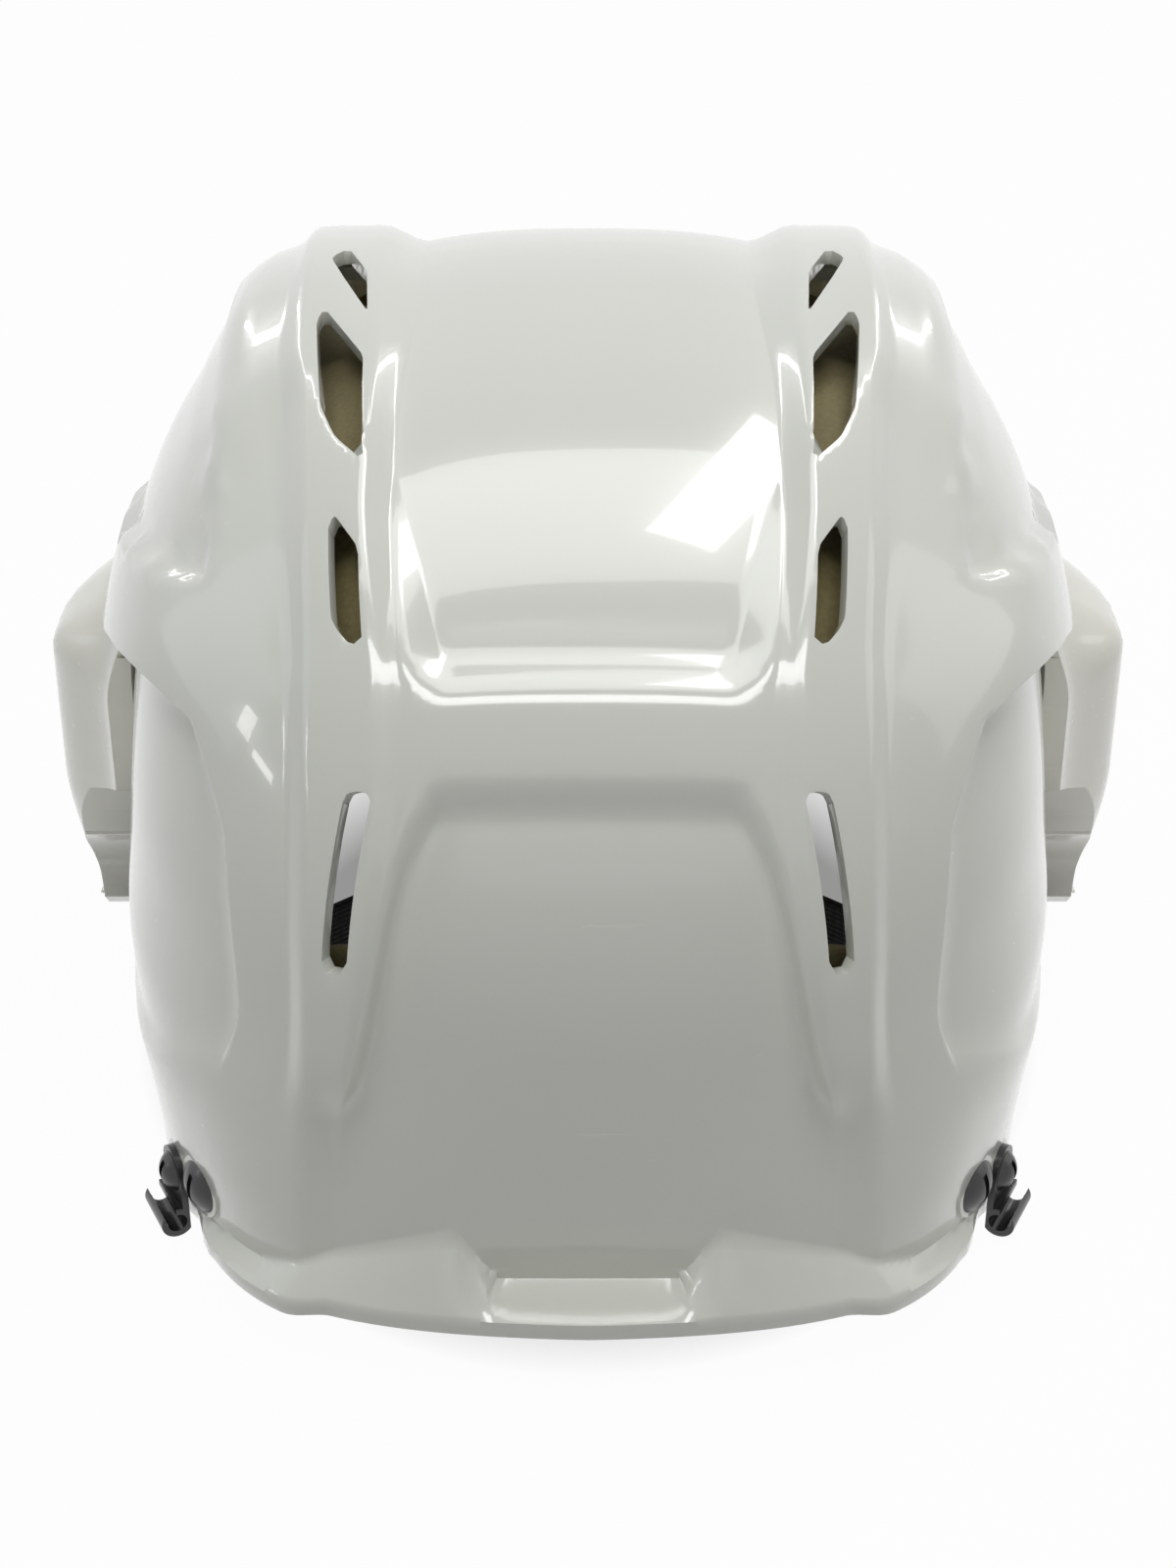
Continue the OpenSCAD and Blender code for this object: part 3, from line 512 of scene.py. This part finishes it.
class Lines:
    # the places across of all style lines at one plane of the fan
    def __init__(self, t):
        self.inner = ridgeInner(t)
        self.outer = ridgeOuter(t)
        self.low = edgeLow(t)
        self.high = edgeHigh(t)
        self.shoulder = front["shoulder"] + 6 * ramp(*fades["shoulderT"], t)
        self.flap = flapLine(t)
        k = ramp(*fades["flareMoveT"], t)
        self.flareStart = (self.flap - 45) * (1 - k) + (self.outer - 5) * k
        self.flareFull = (self.flap - 2) * (1 - k) + (self.outer + 14) * k
        self.end = front["end"] + 26 * ramp(*fades["endT"], t)


linesKept = {}


def linesAt(t):
    key = round(t, 6)
    if key not in linesKept:
        linesKept[key] = Lines(t)
    return linesKept[key]


def ridgeRise(s, t):
    x, line = abs(s), linesAt(t)
    crisp = ramp(*fades["crispT"], t)
    innerCrisp = crisp * ramp(*fades["innerCrispT"], t)
    inner = chamfer(line.inner - line.shoulder, line.inner, x, innerCrisp) * front["ridge"]
    outer = chamfer(line.outer, line.outer + front["ridgeSlope"], x, crisp) * (front["ridge"] - front["side"])
    # the crest lifts the ridges where they pass over the head
    crest = (ramp(*fades["crestT"], t) * ramp(*fades["crestBackT"], t)
             * ramp(line.inner - 2, front["crestIn"], x) * ramp(*fades["crestX"], x))
    return ramp(*fades["ridgeT"], t) * (inner - outer) + front["crest"] * crest


def style(s, t, z):
    x, line = abs(s), linesAt(t)
    w = front["edge"]
    # the brow band: outside the edge all the way, and across the middle between the recess and the panel
    step = clamp((x - line.low) / (line.high - line.low))
    outside = step + (step * step * (3 - 2 * step) - step) * ramp(*fades["softEdgeT"], t)
    inside = (1 - outside) * max(ramp(*fades["recessTopT"], t), ramp(*fades["panelT"], t))
    sinking = clamp((front["bandEnd"] - t) / front["bandFade"])
    band = (front["band"] * ramp(*fades["bandT"], t) * sinking * (1 - inside)
            * ramp(line.inner, line.inner - front["bandSlope"], x))
    # below the ridges' ends the sides keep their rise
    cheek = front["side"] * ramp(*fades["cheekX"], x) * ramp(*fades["cheekT"], t)
    # the flap turns outwards to its edge
    flare = (front["flapOut"] * ramp(line.flareStart, line.flareFull, x)
             * ramp(line.flap + w, line.flap - w, x) * ramp(*fades["flareT"], t))
    # the sides draw in towards the rim
    waist = (front["waist"] * ramp(*fades["waistZ"], z) * ramp(*fades["waistX"], x)
             * ramp(*fades["waistT"], t))
    # the sunk field on the upper flank, inside a slanted line
    slant = between(t, [(67, 82), (69.6, 93), (74.2, 106), (78.2, 115.5), (89, 138), (front["seam"], 144)])
    field = (front["field"] * ramp(*fades["fieldX"], x) * ramp(*fades["fieldT"], t)
             * ramp(*fades["fieldEdgeX"], x - slant))
    # the temple recess under the flap, above its own floor
    floor = between(x, [(70, 68), (107, 46), (190, 42)])
    deep = 0.45 + 0.55 * ramp(*fades["templeDeepT"], t)
    temple = front["recess"] * deep * ramp(line.flap - w, line.flap + w, x)
    temple *= ramp(floor - 4, floor + 4, z) * ramp(*fades["templeT"], t)
    return ridgeRise(s, t) + band + cheek + flare - waist - field - temple


def rimZ(s):
    # the brow's rim arches up to browZ in the middle
    return max(0.0, front["browZ"] * (1 - (abs(s) / front["temple"]) ** 3))


def lipTop(s):
    # the lip's upper edge over the rim: low in the notch, high beside it, down again to the temples
    x = abs(s)
    low = front["lipRim"] + 1.5
    rise = clamp((x - front["notch"] - 1) / 8) * clamp((front["notch"] + 53 - x) / 44)
    return low + (front["lipTop"] - low) * rise


def lipRise(s, v):
    # how far the lip stands out at a height v over the rim
    top = lipTop(s)
    reachOut = front["lip"] * (1 - 0.62 * min(1.0, abs(s) / 85) ** 1.4) * ramp(*fades["lipX"], abs(s))
    return reachOut * clamp((top - v) / (top - front["lipRim"]))


def frontPoint(s, t, v=99):
    # v is the height over the rim, well over the lip unless it is given
    p = onDome(s, t)
    return p + outDir(p) * (style(s, t, p.z) + lipRise(s, v))


# Mesh helpers

def makePiece(name, bm, material, body):
    mesh = bpy.data.meshes.new(name)
    for vert in bm.verts:
        vert.co *= mm
    bm.to_mesh(mesh)
    bm.free()
    mesh.polygons.foreach_set("use_smooth", [True] * len(mesh.polygons))
    piece = bpy.data.objects.new(name, mesh)
    bpy.context.scene.collection.objects.link(piece)
    piece.data.materials.append(material)
    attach(piece, body)
    return piece


def addModifier(piece, kind, **settings):
    modifier = piece.modifiers.new(kind.lower(), kind)
    for key, value in settings.items():
        setattr(modifier, key, value)


def giveWall(piece, thick, offset, rounding, segments, angle):
    # a wall of one thickness whose sharp edges are rounded; offset -1 grows it inwards, 0 both ways
    addModifier(piece, "SOLIDIFY", thickness=thick * mm, offset=offset, use_rim=True)
    addModifier(piece, "BEVEL", width=rounding * mm, segments=segments, limit_method="ANGLE",
                angle_limit=math.radians(angle))


def faceOutwards(bm):
    bmesh.ops.recalc_face_normals(bm, faces=bm.faces)
    if sum(face.normal.dot(face.calc_center_median() - domeMid) * face.calc_area() for face in bm.faces) < 0:
        bmesh.ops.reverse_faces(bm, faces=bm.faces)
    bm.normal_update()


def spread(marks, counts):
    # marks with counts[i] even steps between each two
    values = [marks[0]]
    for a, b, n in zip(marks, marks[1:], counts):
        values += [a + (b - a) * k / n for k in range(1, n + 1)]
    return values


def gridFrom(columns, rows, place):
    # a grid whose vertices are placed one by one, columns sideways and rows up
    bm = bmesh.new()
    nx, ny = len(columns), len(rows)
    bmesh.ops.create_grid(bm, x_segments=nx - 1, y_segments=ny - 1, size=1)
    for vert in bm.verts:
        i = round((vert.co.x + 1) / 2 * (nx - 1))
        j = round((vert.co.y + 1) / 2 * (ny - 1))
        vert.co = place(columns[i], rows[j])
    return bm


def roundedOutline(points, radius, steps=4):
    # a convex outline with its corners rounded
    made = []
    n = len(points)
    for k in range(n):
        a, b, c = Vector(points[k - 1]), Vector(points[k]), Vector(points[(k + 1) % n])
        toA, toC = (a - b), (c - b)
        cut = min(radius, toA.length * 0.45, toC.length * 0.45)
        start, end = b + toA.normalized() * cut, b + toC.normalized() * cut
        for m in range(steps + 1):
            u = m / steps
            made.append(start * (1 - u) ** 2 + b * 2 * u * (1 - u) + end * u * u)
    return made


def insideOutline(p, outline):
    odd = False
    n = len(outline)
    for k in range(n):
        a, b = outline[k], outline[(k + 1) % n]
        if (a[1] > p[1]) != (b[1] > p[1]) and p[0] < (b[0] - a[0]) * (p[1] - a[1]) / (b[1] - a[1]) + a[0]:
            odd = not odd
    return odd


def nearestOn(p, outline):
    found = []
    for a, b in zip(outline, outline[1:] + outline[:1]):
        ab = b - a
        found.append(a + ab * clamp((p - a).dot(ab) / max(ab.length_squared, 1e-9)))
    return min(found, key=lambda q: (q - p).length)


def cutHole(bm, frameAt, outline):
    # frameAt is the middle and the three directions of a flat outline laid on the surface
    middle, across, up, out = frameAt

    def flat(co):
        return Vector(((co - middle).dot(across), (co - middle).dot(up)))

    # only faces in a ball around the hole are tested, and none on the far side of the dome
    size = max(p.length for p in outline) + 6
    gone = []
    for face in bm.faces:
        centre = face.calc_center_median()
        if (centre - middle).length < size and insideOutline(flat(centre), outline):
            gone.append(face)
    # the hole's ragged rim moves onto the outline, along the surface
    rim = set(vert for face in gone for vert in face.verts)
    bmesh.ops.delete(bm, geom=gone, context="FACES")
    for vert in rim:
        if vert.is_valid and vert.link_faces:
            p = flat(vert.co)
            shift = nearestOn(p, outline) - p
            move = across * shift.x + up * shift.y
            n = vert.normal if vert.normal.length > 0.5 else out
            vert.co += move - out * (move.dot(n) / max(n.dot(out), 0.3))


# Front shell

# Vents of the right side: s and t of the middle, then the corners across and up from it
vents = {
    "one": (50, 95.5, [(1.8, 14.8), (-3, -1), (-4, -22.4), (1.6, -4), (5, 8.4)]),
    "two": (50, 81.5, [(5, 25.1), (-4.9, 3), (-6.8, -33.2), (-0.5, -23.5), (3, -12.4), (6.1, 20)]),
    "three": (45.5, 64.5, [(2, 11), (-3.4, 2), (-4.5, -19.3), (-1.9, -18.9), (1.6, -13.8), (3.1, 9)]),
    "four": (45.6, 45.2, [(-1.4, 19.6), (-6.8, 19.4), (-1, -14.8), (4.2, -14.8)]),
}
rearVents = {
    "upper": (50, 119, [(-4, -14), (3, -14), (5, -8), (3, 12), (0, 15), (-4, 10)]),
    "lower": (50, 131, [(-4, -14), (3, -14), (5, -8), (3, 12), (0, 15), (-4, 10)]),
}


def ventFrame(s, t, side):
    p = onDome(s, t)
    n = outDir(p)
    p = p + n * style(s, t, p.z)
    up = onDome(s, t + 1) - onDome(s, t - 1)
    up = (up - n * up.dot(n)).normalized()
    across = up.cross(n)
    if side < 0:
        flip = Vector((-1, 1, 1))
        p, n, up, across = p * flip, n * flip, up * flip, across * flip
    return p, across, up, n


def halfColumns(t, counts):
    line = linesAt(t)
    w = front["edge"]
    k = max(line.high, line.inner - line.shoulder)
    marks = [0, line.low, line.high, k + 0.3, max(line.inner, k + 0.8), line.outer,
             line.outer + front["ridgeSlope"], line.flap - w, line.flap + w, line.end]
    return spread(marks, counts)


# columns across one half and rows up, with the steps between them; low steps lie along the rim and the lip
frontGrid = {"across": [14, 5, 3, 4, 13, 4, 18, 4, 34], "rows": [30, 47, 58.5, front["seam"]],
             "steps": [16, 22, 66], "lowSteps": [2, 2, 4, 3, 4], "notchSteps": [6, 6, 7]}


def buildFrontShell(material):
    counts = frontGrid["across"]
    half = sum(counts)
    first = frontGrid["rows"][0]
    fanRows = spread(frontGrid["rows"], frontGrid["steps"])
    rows = [("low", j) for j in range(sum(frontGrid["lowSteps"]))] + [("fan", t) for t in fanRows]
    lowColumns = halfColumns(first, counts)
    # near the notch of the lip the columns follow its sides
    notchMarks = [0, front["notch"] + 1, front["notch"] + 9, lowColumns[sum(frontGrid["notchSteps"])]]
    notch = spread(notchMarks, frontGrid["notchSteps"])
    lowColumns = notch + lowColumns[len(notch):]
    perRow = {t: halfColumns(t, counts) for t in fanRows}
    middleHeight = onDome(0, first).z - rimZ(0)

    def lowRow(s, j):
        # the fan angle and the height over the rim of a point below the first fan row
        k = (onDome(s, first).z - rimZ(s)) / middleHeight
        crest = max(lipTop(s), front["lipRim"] + 4.5)
        marks = [0, front["lipRim"], front["lipRim"] + 1.5, crest, crest + 3, front["lipTop"] + 12]
        v = spread(marks, frontGrid["lowSteps"])[j]
        return angleAt(s, rimZ(s) + v * k), v

    def place(i, row):
        kind, value = row
        sign = -1 if i < 0 else 1
        if kind == "low":
            s = sign * lowColumns[abs(i)]
            return frontPoint(s, *lowRow(s, value))
        s = perRow[value][abs(i)]
        blendLow = ramp(first + 4, first, value)
        s = sign * (s * (1 - blendLow) + lowColumns[abs(i)] * blendLow)
        return frontPoint(s, value)

    bm = gridFrom(list(range(-half, half + 1)), rows, place)
    faceOutwards(bm)
    for s, t, points in vents.values():
        outline = roundedOutline(points, 2.2)
        for side in (-1, 1):
            cutHole(bm, ventFrame(s, t, side), outline)
    addSeats(bm)
    piece = makePiece("frontShellSkin", bm, material, "front")
    giveWall(piece, front["wall"], -1, 0.7, 3, 62)
    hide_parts("front_shell")


# Flat round seats moulded under the visor and clip screws: s, t and radius
seats = {"visor": (102, 19, 6.8), "clip": (123, 19, 6.5), "height": 0.5, "sunk": 1.2, "slope": 0.5}


def addSeats(bm):
    for key in ("visor", "clip"):
        s, t, radius = seats[key]
        p = onDome(s, t)
        n = outDir(p)
        p = p + n * style(s, t, p.z)
        level = Vector((n.x, n.y, 0)).normalized()
        for side in (-1, 1):
            flip = Vector((side, 1, 1))
            turn = (level * flip).to_track_quat("Z", "Y").to_matrix().to_4x4()
            lift = Matrix.Translation((0, 0, seats["height"] / 2 - seats["sunk"] / 2))
            made = bmesh.ops.create_cone(bm, cap_ends=True, segments=40, radius1=radius + seats["slope"],
                                         radius2=radius, depth=seats["height"] + seats["sunk"],
                                         matrix=Matrix.Translation(p * flip) @ turn @ lift)
            # the ring keeps an open back, hidden in the wall
            faces = set(face for vert in made["verts"] for face in vert.link_faces)
            backs = [face for face in faces if face.normal.dot(level * flip) < -0.9]
            bmesh.ops.delete(bm, geom=backs, context="FACES")


# Rear shell: tongue under the front shell, wings over its temple recesses, ear pods and nape

rear = {"gap": 0.6, "tongue": 15.5, "tuck": 4.2, "tuckLong": 4.5, "wingGap": 1.0, "podOut": 20,
        "podStart": 3.4, "podY": 1.5, "podFold": 40, "flapGap": 0.8, "last": 65}
rearFades = {"ridgeT": (158, 138), "sideT": (138, 158), "sideX": (50, 66), "wingY": (95, 62),
             "wingX": (60, 90), "podLowZ": (46, 12), "podY": (88, 38), "podX": (60, 88)}
# fixed columns across one half, then the last one and those that follow the pod; rows up the fan to t 128,
# and from there low rows down to the table
rearGrid = {"columns": [0, 38, 42, 50.5, 59], "across": [14, 4, 6, 6, 4, 10, 6, 44],
            "rows": [79, 104, 109, 128], "steps": [25, 8, 19], "low": 36}


def sideEnd(t):
    return between(t, [(79, 270), (82, 278), (92, 303), (100, 350), (107, 395), (127, 440), (143, 455),
                       (152, 400), (180, 300)])


def flapColumn(t):
    # along the flap's edge, and behind it easing back between the last column and the end
    k = ramp(113, 128, t)
    return flapS(min(t, 113)) * (1 - k) + (rear["last"] + (sideEnd(t) - rear["last"]) * 0.35) * k


def belowFlap(p):
    # 1 under the flap's edge, 0 over it
    return ramp(front["flapZ"] + 6, front["flapZ"] + 0.5, p.z)


def podRise(p):
    swell = ramp(rear["podY"] - 3, rear["podY"] + 27, p.y)
    out = rear["podStart"] + (rear["podOut"] - rear["podStart"]) * swell
    slimmer = 0.22 * ramp(*rearFades["podLowZ"], p.z)
    tall = ramp(front["flapZ"] + 3, front["flapZ"] - 17, p.z) * (1 - slimmer)
    return belowFlap(p) * out * ramp(*rearFades["podY"], p.y) * tall * ramp(*rearFades["podX"], abs(p.x))


def rearRise(s, t, p):
    tuck = rear["tuck"] * ramp(front["seam"], front["seam"] - rear["tuckLong"], t) * (1 - belowFlap(p))
    # towards the nape the ridges run out into plain sides
    sides = front["side"] * ramp(*rearFades["sideT"], t) * ramp(*rearFades["sideX"], abs(s))
    ridges = ridgeRise(s, t) * ramp(*rearFades["ridgeT"], t) + sides
    lift = 2 * front["wall"] + rear["gap"] + rear["wingGap"] - front["recess"]
    wing = lift * belowFlap(p) * ramp(*rearFades["wingY"], p.y) * ramp(*rearFades["wingX"], abs(p.x))
    return ridges - front["wall"] - rear["gap"] - tuck + wing


def rearPoint(s, t):
    p = onDome(s, t)
    return p + outDir(p) * (rearRise(s, t, p) + podRise(p))


def rearS(i, t):
    f = flapColumn(t)
    left = abs(i)
    marks = rearGrid["columns"] + [rear["last"], f - 5, f + 0.6, sideEnd(t)]
    for a, b, n in zip(marks, marks[1:], rearGrid["across"]):
        if left <= n:
            return math.copysign(a + (b - a) * left / n, i)
        left -= n
    return math.copysign(marks[-1], i)


def rearEnd(i):
    # the fan angle at which a column meets the table
    return crossing(128.0, 178.0, 16, lambda t: onDome(rearS(i, t), t).z < 0)


def seamY(z):
    # how far back the seam between the shells lies at a height
    return fan["y"] + (z - fan["z"]) * math.tan(math.radians(front["seam"] - 90))


def cutPlane(bm, spot, normal, near):
    # each edge and vertex once, in the faces' order
    faces = [face for face in bm.faces if near(face.calc_center_median())]
    edges = dict.fromkeys(edge for face in faces for edge in face.edges)
    verts = dict.fromkeys(vert for face in faces for vert in face.verts)
    bmesh.ops.bisect_plane(bm, geom=[*faces, *edges, *verts], dist=0.02, plane_co=spot, plane_no=normal)


def trimRear(bm):
    # straight edges: the pod's front, its top under the flap, the step behind the flap and the tongue's end
    top = front["flapZ"] - front["edge"] - rear["flapGap"]
    step = front["flapZ"] + 6
    back = seamY(front["flapZ"]) + 1.5
    slant = math.radians(front["seam"] - 90)
    tongueY = seamY(step) - rear["tongue"]
    near, past = 12, 8  # only faces this close to a plane are cut, and this far past the cut's end
    cutPlane(bm, (0, rear["podY"], 0), (0, 1, 0), lambda c: abs(c.y - rear["podY"]) < near and c.z < step)
    cutPlane(bm, (0, 0, top), (0, 0, 1), lambda c: abs(c.z - top) < near and c.y < back + past)
    cutPlane(bm, (0, back, 0), (0, 1, 0), lambda c: abs(c.y - back) < near and top - past < c.z < step + past)
    cutPlane(bm, (0, 0, step), (0, 0, 1), lambda c: abs(c.z - step) < near and c.y < back + past)
    cutPlane(bm, (0, tongueY, step), (0, math.cos(slant), -math.sin(slant)), lambda c: c.z > step - past)
    gone = []
    for face in bm.faces:
        c = face.calc_center_median()
        kept = c.z < top or (c.z < step and c.y > back) or (c.z >= step and c.y > seamY(c.z) - rear["tongue"])
        if c.y < rear["podY"] or not kept:
            gone.append(face)
    bmesh.ops.delete(bm, geom=gone, context="FACES")
    bmesh.ops.remove_doubles(bm, verts=bm.verts, dist=0.03)


def closePods(bm):
    # the solid front part of each pod: its face to the front, its underside and the ear arch fold inwards
    foldEnd = rear["podY"] + rear["podFold"]

    def onFront(p):
        return abs(p.y - rear["podY"]) < 0.05

    def folds(p):
        return abs(p.x) > 60 and p.y < foldEnd and p.z < front["flapZ"] - 4

    edges = [e for e in bm.edges if e.is_boundary and all(folds(v.co) for v in e.verts)]
    made = bmesh.ops.extrude_edge_only(bm, edges=edges)["geom"]
    for vert in made:
        if isinstance(vert, bmesh.types.BMVert):
            p = vert.co.copy()
            n = outDir(p)
            depth = podRise(p) * (1 - ramp(foldEnd - 10, foldEnd, p.y))
            depth += front["wall"] * 0.6 if onFront(p) else 0.0
            flat = Vector((n.x, 0 if onFront(p) else n.y, 0 if abs(p.z) < 0.05 else n.z))
            vert.co = p - flat * depth
    bmesh.ops.remove_doubles(bm, verts=bm.verts, dist=0.03)


def buildRearShell(material):
    half = sum(rearGrid["across"])
    low, last = rearGrid["low"], rearGrid["rows"][-1]
    rows = [(t, 0) for t in spread(rearGrid["rows"], rearGrid["steps"])]
    rows += [(last, k / low) for k in range(1, low + 1)]
    ends = [rearEnd(i) for i in range(half + 1)]

    def place(i, row):
        start, down = row
        t = start + (ends[abs(i)] - start) * down
        p = rearPoint(rearS(i, t), t)
        if down == 1:
            p.z = 0
        return p

    bm = gridFrom(list(range(-half, half + 1)), rows, place)
    trimRear(bm)
    faceOutwards(bm)
    for s, t, points in rearVents.values():
        for side in (-1, 1):
            cutHole(bm, ventFrame(s, t, side), roundedOutline(points, 2.0))
    closePods(bm)
    faceOutwards(bm)
    piece = makePiece("rearShellSkin", bm, material, "rear")
    giveWall(piece, front["wall"], -1, 0.6, 3, 62)
    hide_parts("rear_shell")


# Liner: moulded foam pads, crowned towards the head, with two moulded channels and soft edges
liner = {"gap": 0.8, "cuts": 43, "channelAt": 0.34, "channelDepth": 0.28, "channelWidth": 0.035, "edge": 0.05,
         "round": 0.012, "across": 12, "up": 8}
# s and t say where a pad lies, and one off the middle has a mirrored twin; top is how far its seat may
# stand over the dome
pads = [
    {"name": "foreheadPad", "node": "forehead_pad", "s": (-60, 60), "t": (21, 41.5),
     "top": 0, "thick": 12, "body": "front"},
    {"name": "templePad", "node": "temple_pad", "s": (68, 146), "t": (38, 54),
     "top": 3, "thick": 10, "body": "front"},
    {"name": "crownPad", "node": "crown_pad", "s": (5, 80), "t": (58, 98.5),
     "top": 0, "thick": 12, "body": "front"},
    {"name": "sidePad", "node": "side_pad", "s": (88, 142), "t": (73, 98.5),
     "top": 6.5, "thick": 10, "body": "front"},
    {"name": "rearCrownPad", "node": "rear_crown_pad", "s": (-66, 66), "t": (112, 134),
     "top": -3.6, "thick": 12, "body": "rear"},
    {"name": "rearSidePad", "node": "rear_side_pad", "s": (78, 160), "t": (113, 134),
     "top": -1.4, "thick": 10, "body": "rear"},
    {"name": "occipitalPad", "node": "occipital_pad", "s": (-72, 72), "t": (139, 161),
     "top": -3.6, "thick": 12, "body": "rear"},
]


def seatRise(s, t, body):
    p = onDome(s, t)
    return rearRise(s, t, p) if body == "rear" else style(s, t, p.z)


def buildPad(pad, name, node, side, material):
    (s0, s1), (t0, t1) = pad["s"], pad["t"]
    across, up = liner["across"], liner["up"]
    kept = {}

    def corner(a, b):
        # as far out as the shell's inside lets the pad come, anywhere around this corner of a coarse net
        if (a, b) not in kept:
            s, t = s0 + (s1 - s0) * a / across, t0 + (t1 - t0) * b / up
            low = min(seatRise(s + ds, t + dt, pad["body"]) for ds in (-6, 0, 6) for dt in (-4, 0, 4))
            kept[(a, b)] = min(pad["top"], low) - front["wall"] - liner["gap"]
        return kept[(a, b)]

    def seatAt(s, t):
        # blended between the net's corners, so the pad's back is smooth
        u, v = (s - s0) / (s1 - s0) * across, (t - t0) / (t1 - t0) * up
        a, b = min(across - 1, max(0, int(u))), min(up - 1, max(0, int(v)))
        u, v = u - a, v - b
        return ((corner(a, b) * (1 - u) + corner(a + 1, b) * u) * (1 - v)
                + (corner(a, b + 1) * (1 - u) + corner(a + 1, b + 1) * u) * v)

    bm = bmesh.new()
    bmesh.ops.create_cube(bm, size=2)
    bmesh.ops.subdivide_edges(bm, edges=bm.edges, cuts=liner["cuts"], use_grid_fill=True)
    for vert in bm.verts:
        u, v, w = vert.co
        deep = (w + 1) / 2
        crown = (0.5 + 0.5 * math.sqrt(max(0.0, 1 - u ** 6)) * math.sqrt(max(0.0, 1 - v ** 6)))
        fromChannel = (abs(u) - liner["channelAt"]) / liner["channelWidth"]
        groove = 1 - liner["channelDepth"] * math.exp(-fromChannel ** 2)
        draw = 1 - liner["edge"] * deep
        soft = 1 - liner["round"] * (abs(w) ** 8)
        s = (s0 + s1) / 2 + (s1 - s0) / 2 * u * draw * soft
        t = (t0 + t1) / 2 + (t1 - t0) / 2 * v * draw * soft
        p = onDome(s, t)
        place = p + outDir(p) * (seatAt(s, t) - pad["thick"] * crown * groove * deep)
        vert.co = Vector((side * place.x, place.y, place.z))
    bmesh.ops.recalc_face_normals(bm, faces=bm.faces)
    piece = makePiece(name, bm, material, pad["body"])
    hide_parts(node)


# Chin webbing: one band standing on its edge, from snap to snap through the chin cup

web = {"width": 16, "thick": 2, "steps": 14, "across": 10, "stiff": 0.8,
       "path": [(84.149, -57.5, 17), (84.149, -48.5, 17), (83.149, -38, 15), (84, -20, 13), (70, -4, 12.5),
                (54, 7, 14), (40, 12, 17), (30, 14.5, 18.5), (0, 14.5, 18.5)]}


def smoothPath(points, steps):
    # a curve through every point, straight where three points are in line
    made = []
    n = len(points)
    for k in range(n - 1):
        a, b, c, d = points[max(k - 1, 0)], points[k], points[k + 1], points[min(k + 2, n - 1)]
        span = (c - b).length
        before = (c - a).normalized() * span if k > 0 else c - b
        after = (d - b).normalized() * span if k + 2 < n else c - b
        for m in range(steps):
            u = m / steps
            made.append(b * (2 * u ** 3 - 3 * u ** 2 + 1) + before * web["stiff"] * (u ** 3 - 2 * u ** 2 + u)
                        + c * (3 * u ** 2 - 2 * u ** 3) + after * web["stiff"] * (u ** 3 - u ** 2))
    return made + [points[-1]]


def buildWebbing(material):
    half = [Vector(p) for p in web["path"]]
    points = smoothPath(half + [Vector((-p.x, p.y, p.z)) for p in half[-2::-1]], web["steps"])
    along = [0.0]
    for a, b in zip(points, points[1:]):
        along.append(along[-1] + (b - a).length)
    print("webbing length", round(along[-1], 1), "mm")
    rows = [-1 + 2 * k / web["across"] for k in range(web["across"] + 1)]

    def place(i, v):
        return points[i] + Vector((0, 0, web["width"] / 2 * v))

    bm = gridFrom(list(range(len(points))), rows, place)
    bmesh.ops.recalc_face_normals(bm, faces=bm.faces)
    weave = bm.loops.layers.uv.new("weave")
    places = {}
    for vert in bm.verts:
        places[vert] = min(range(len(points)), key=lambda n: (points[n].xy - vert.co.xy).length_squared)
    for face in bm.faces:
        for loop in face.loops:
            k = places[loop.vert]
            loop[weave].uv = (along[k] * mm, (loop.vert.co.z - points[k].z) * mm)
    piece = makePiece("chinWebbing", bm, material, "strap")
    giveWall(piece, web["thick"], 0, 0.35, 2, 50)
    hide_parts("chin_webbing")


buildFrontShell(shellMaterial("shellWhite"))
print("front shell built")
buildRearShell(shellMaterial("shellCream"))
print("rear shell built")
foam = foamMaterial()
for padItem in pads:
    if padItem["s"][0] < 0:
        buildPad(padItem, padItem["name"], padItem["node"], 1, foam)
    else:
        buildPad(padItem, padItem["name"] + "Right", padItem["node"] + "_right", 1, foam)
        buildPad(padItem, padItem["name"] + "Left", padItem["node"] + "_left", -1, foam)
print("liner built")
buildWebbing(webbingMaterial())
print("webbing built")

# Nodes kept from the CAD, by their material
keptNodes = [
    (blackMaterial("blackCoat"), ["visor_screws", "clip_screws", "adjust_screws", "clip_left", "clip_right"]),
    (steelMaterial(), ["visor_nuts", "clip_nuts", "adjust_nuts", "snap_studs", "snap_sockets"]),
    (blackMaterial("cupPlastic"), ["chin_cup"]),
]
for nodeLook, nodeNames in keptNodes:
    for nodeName in nodeNames:
        cadNodes[nodeName].data.materials.clear()
        cadNodes[nodeName].data.materials.append(nodeLook)
print("hardware finished")
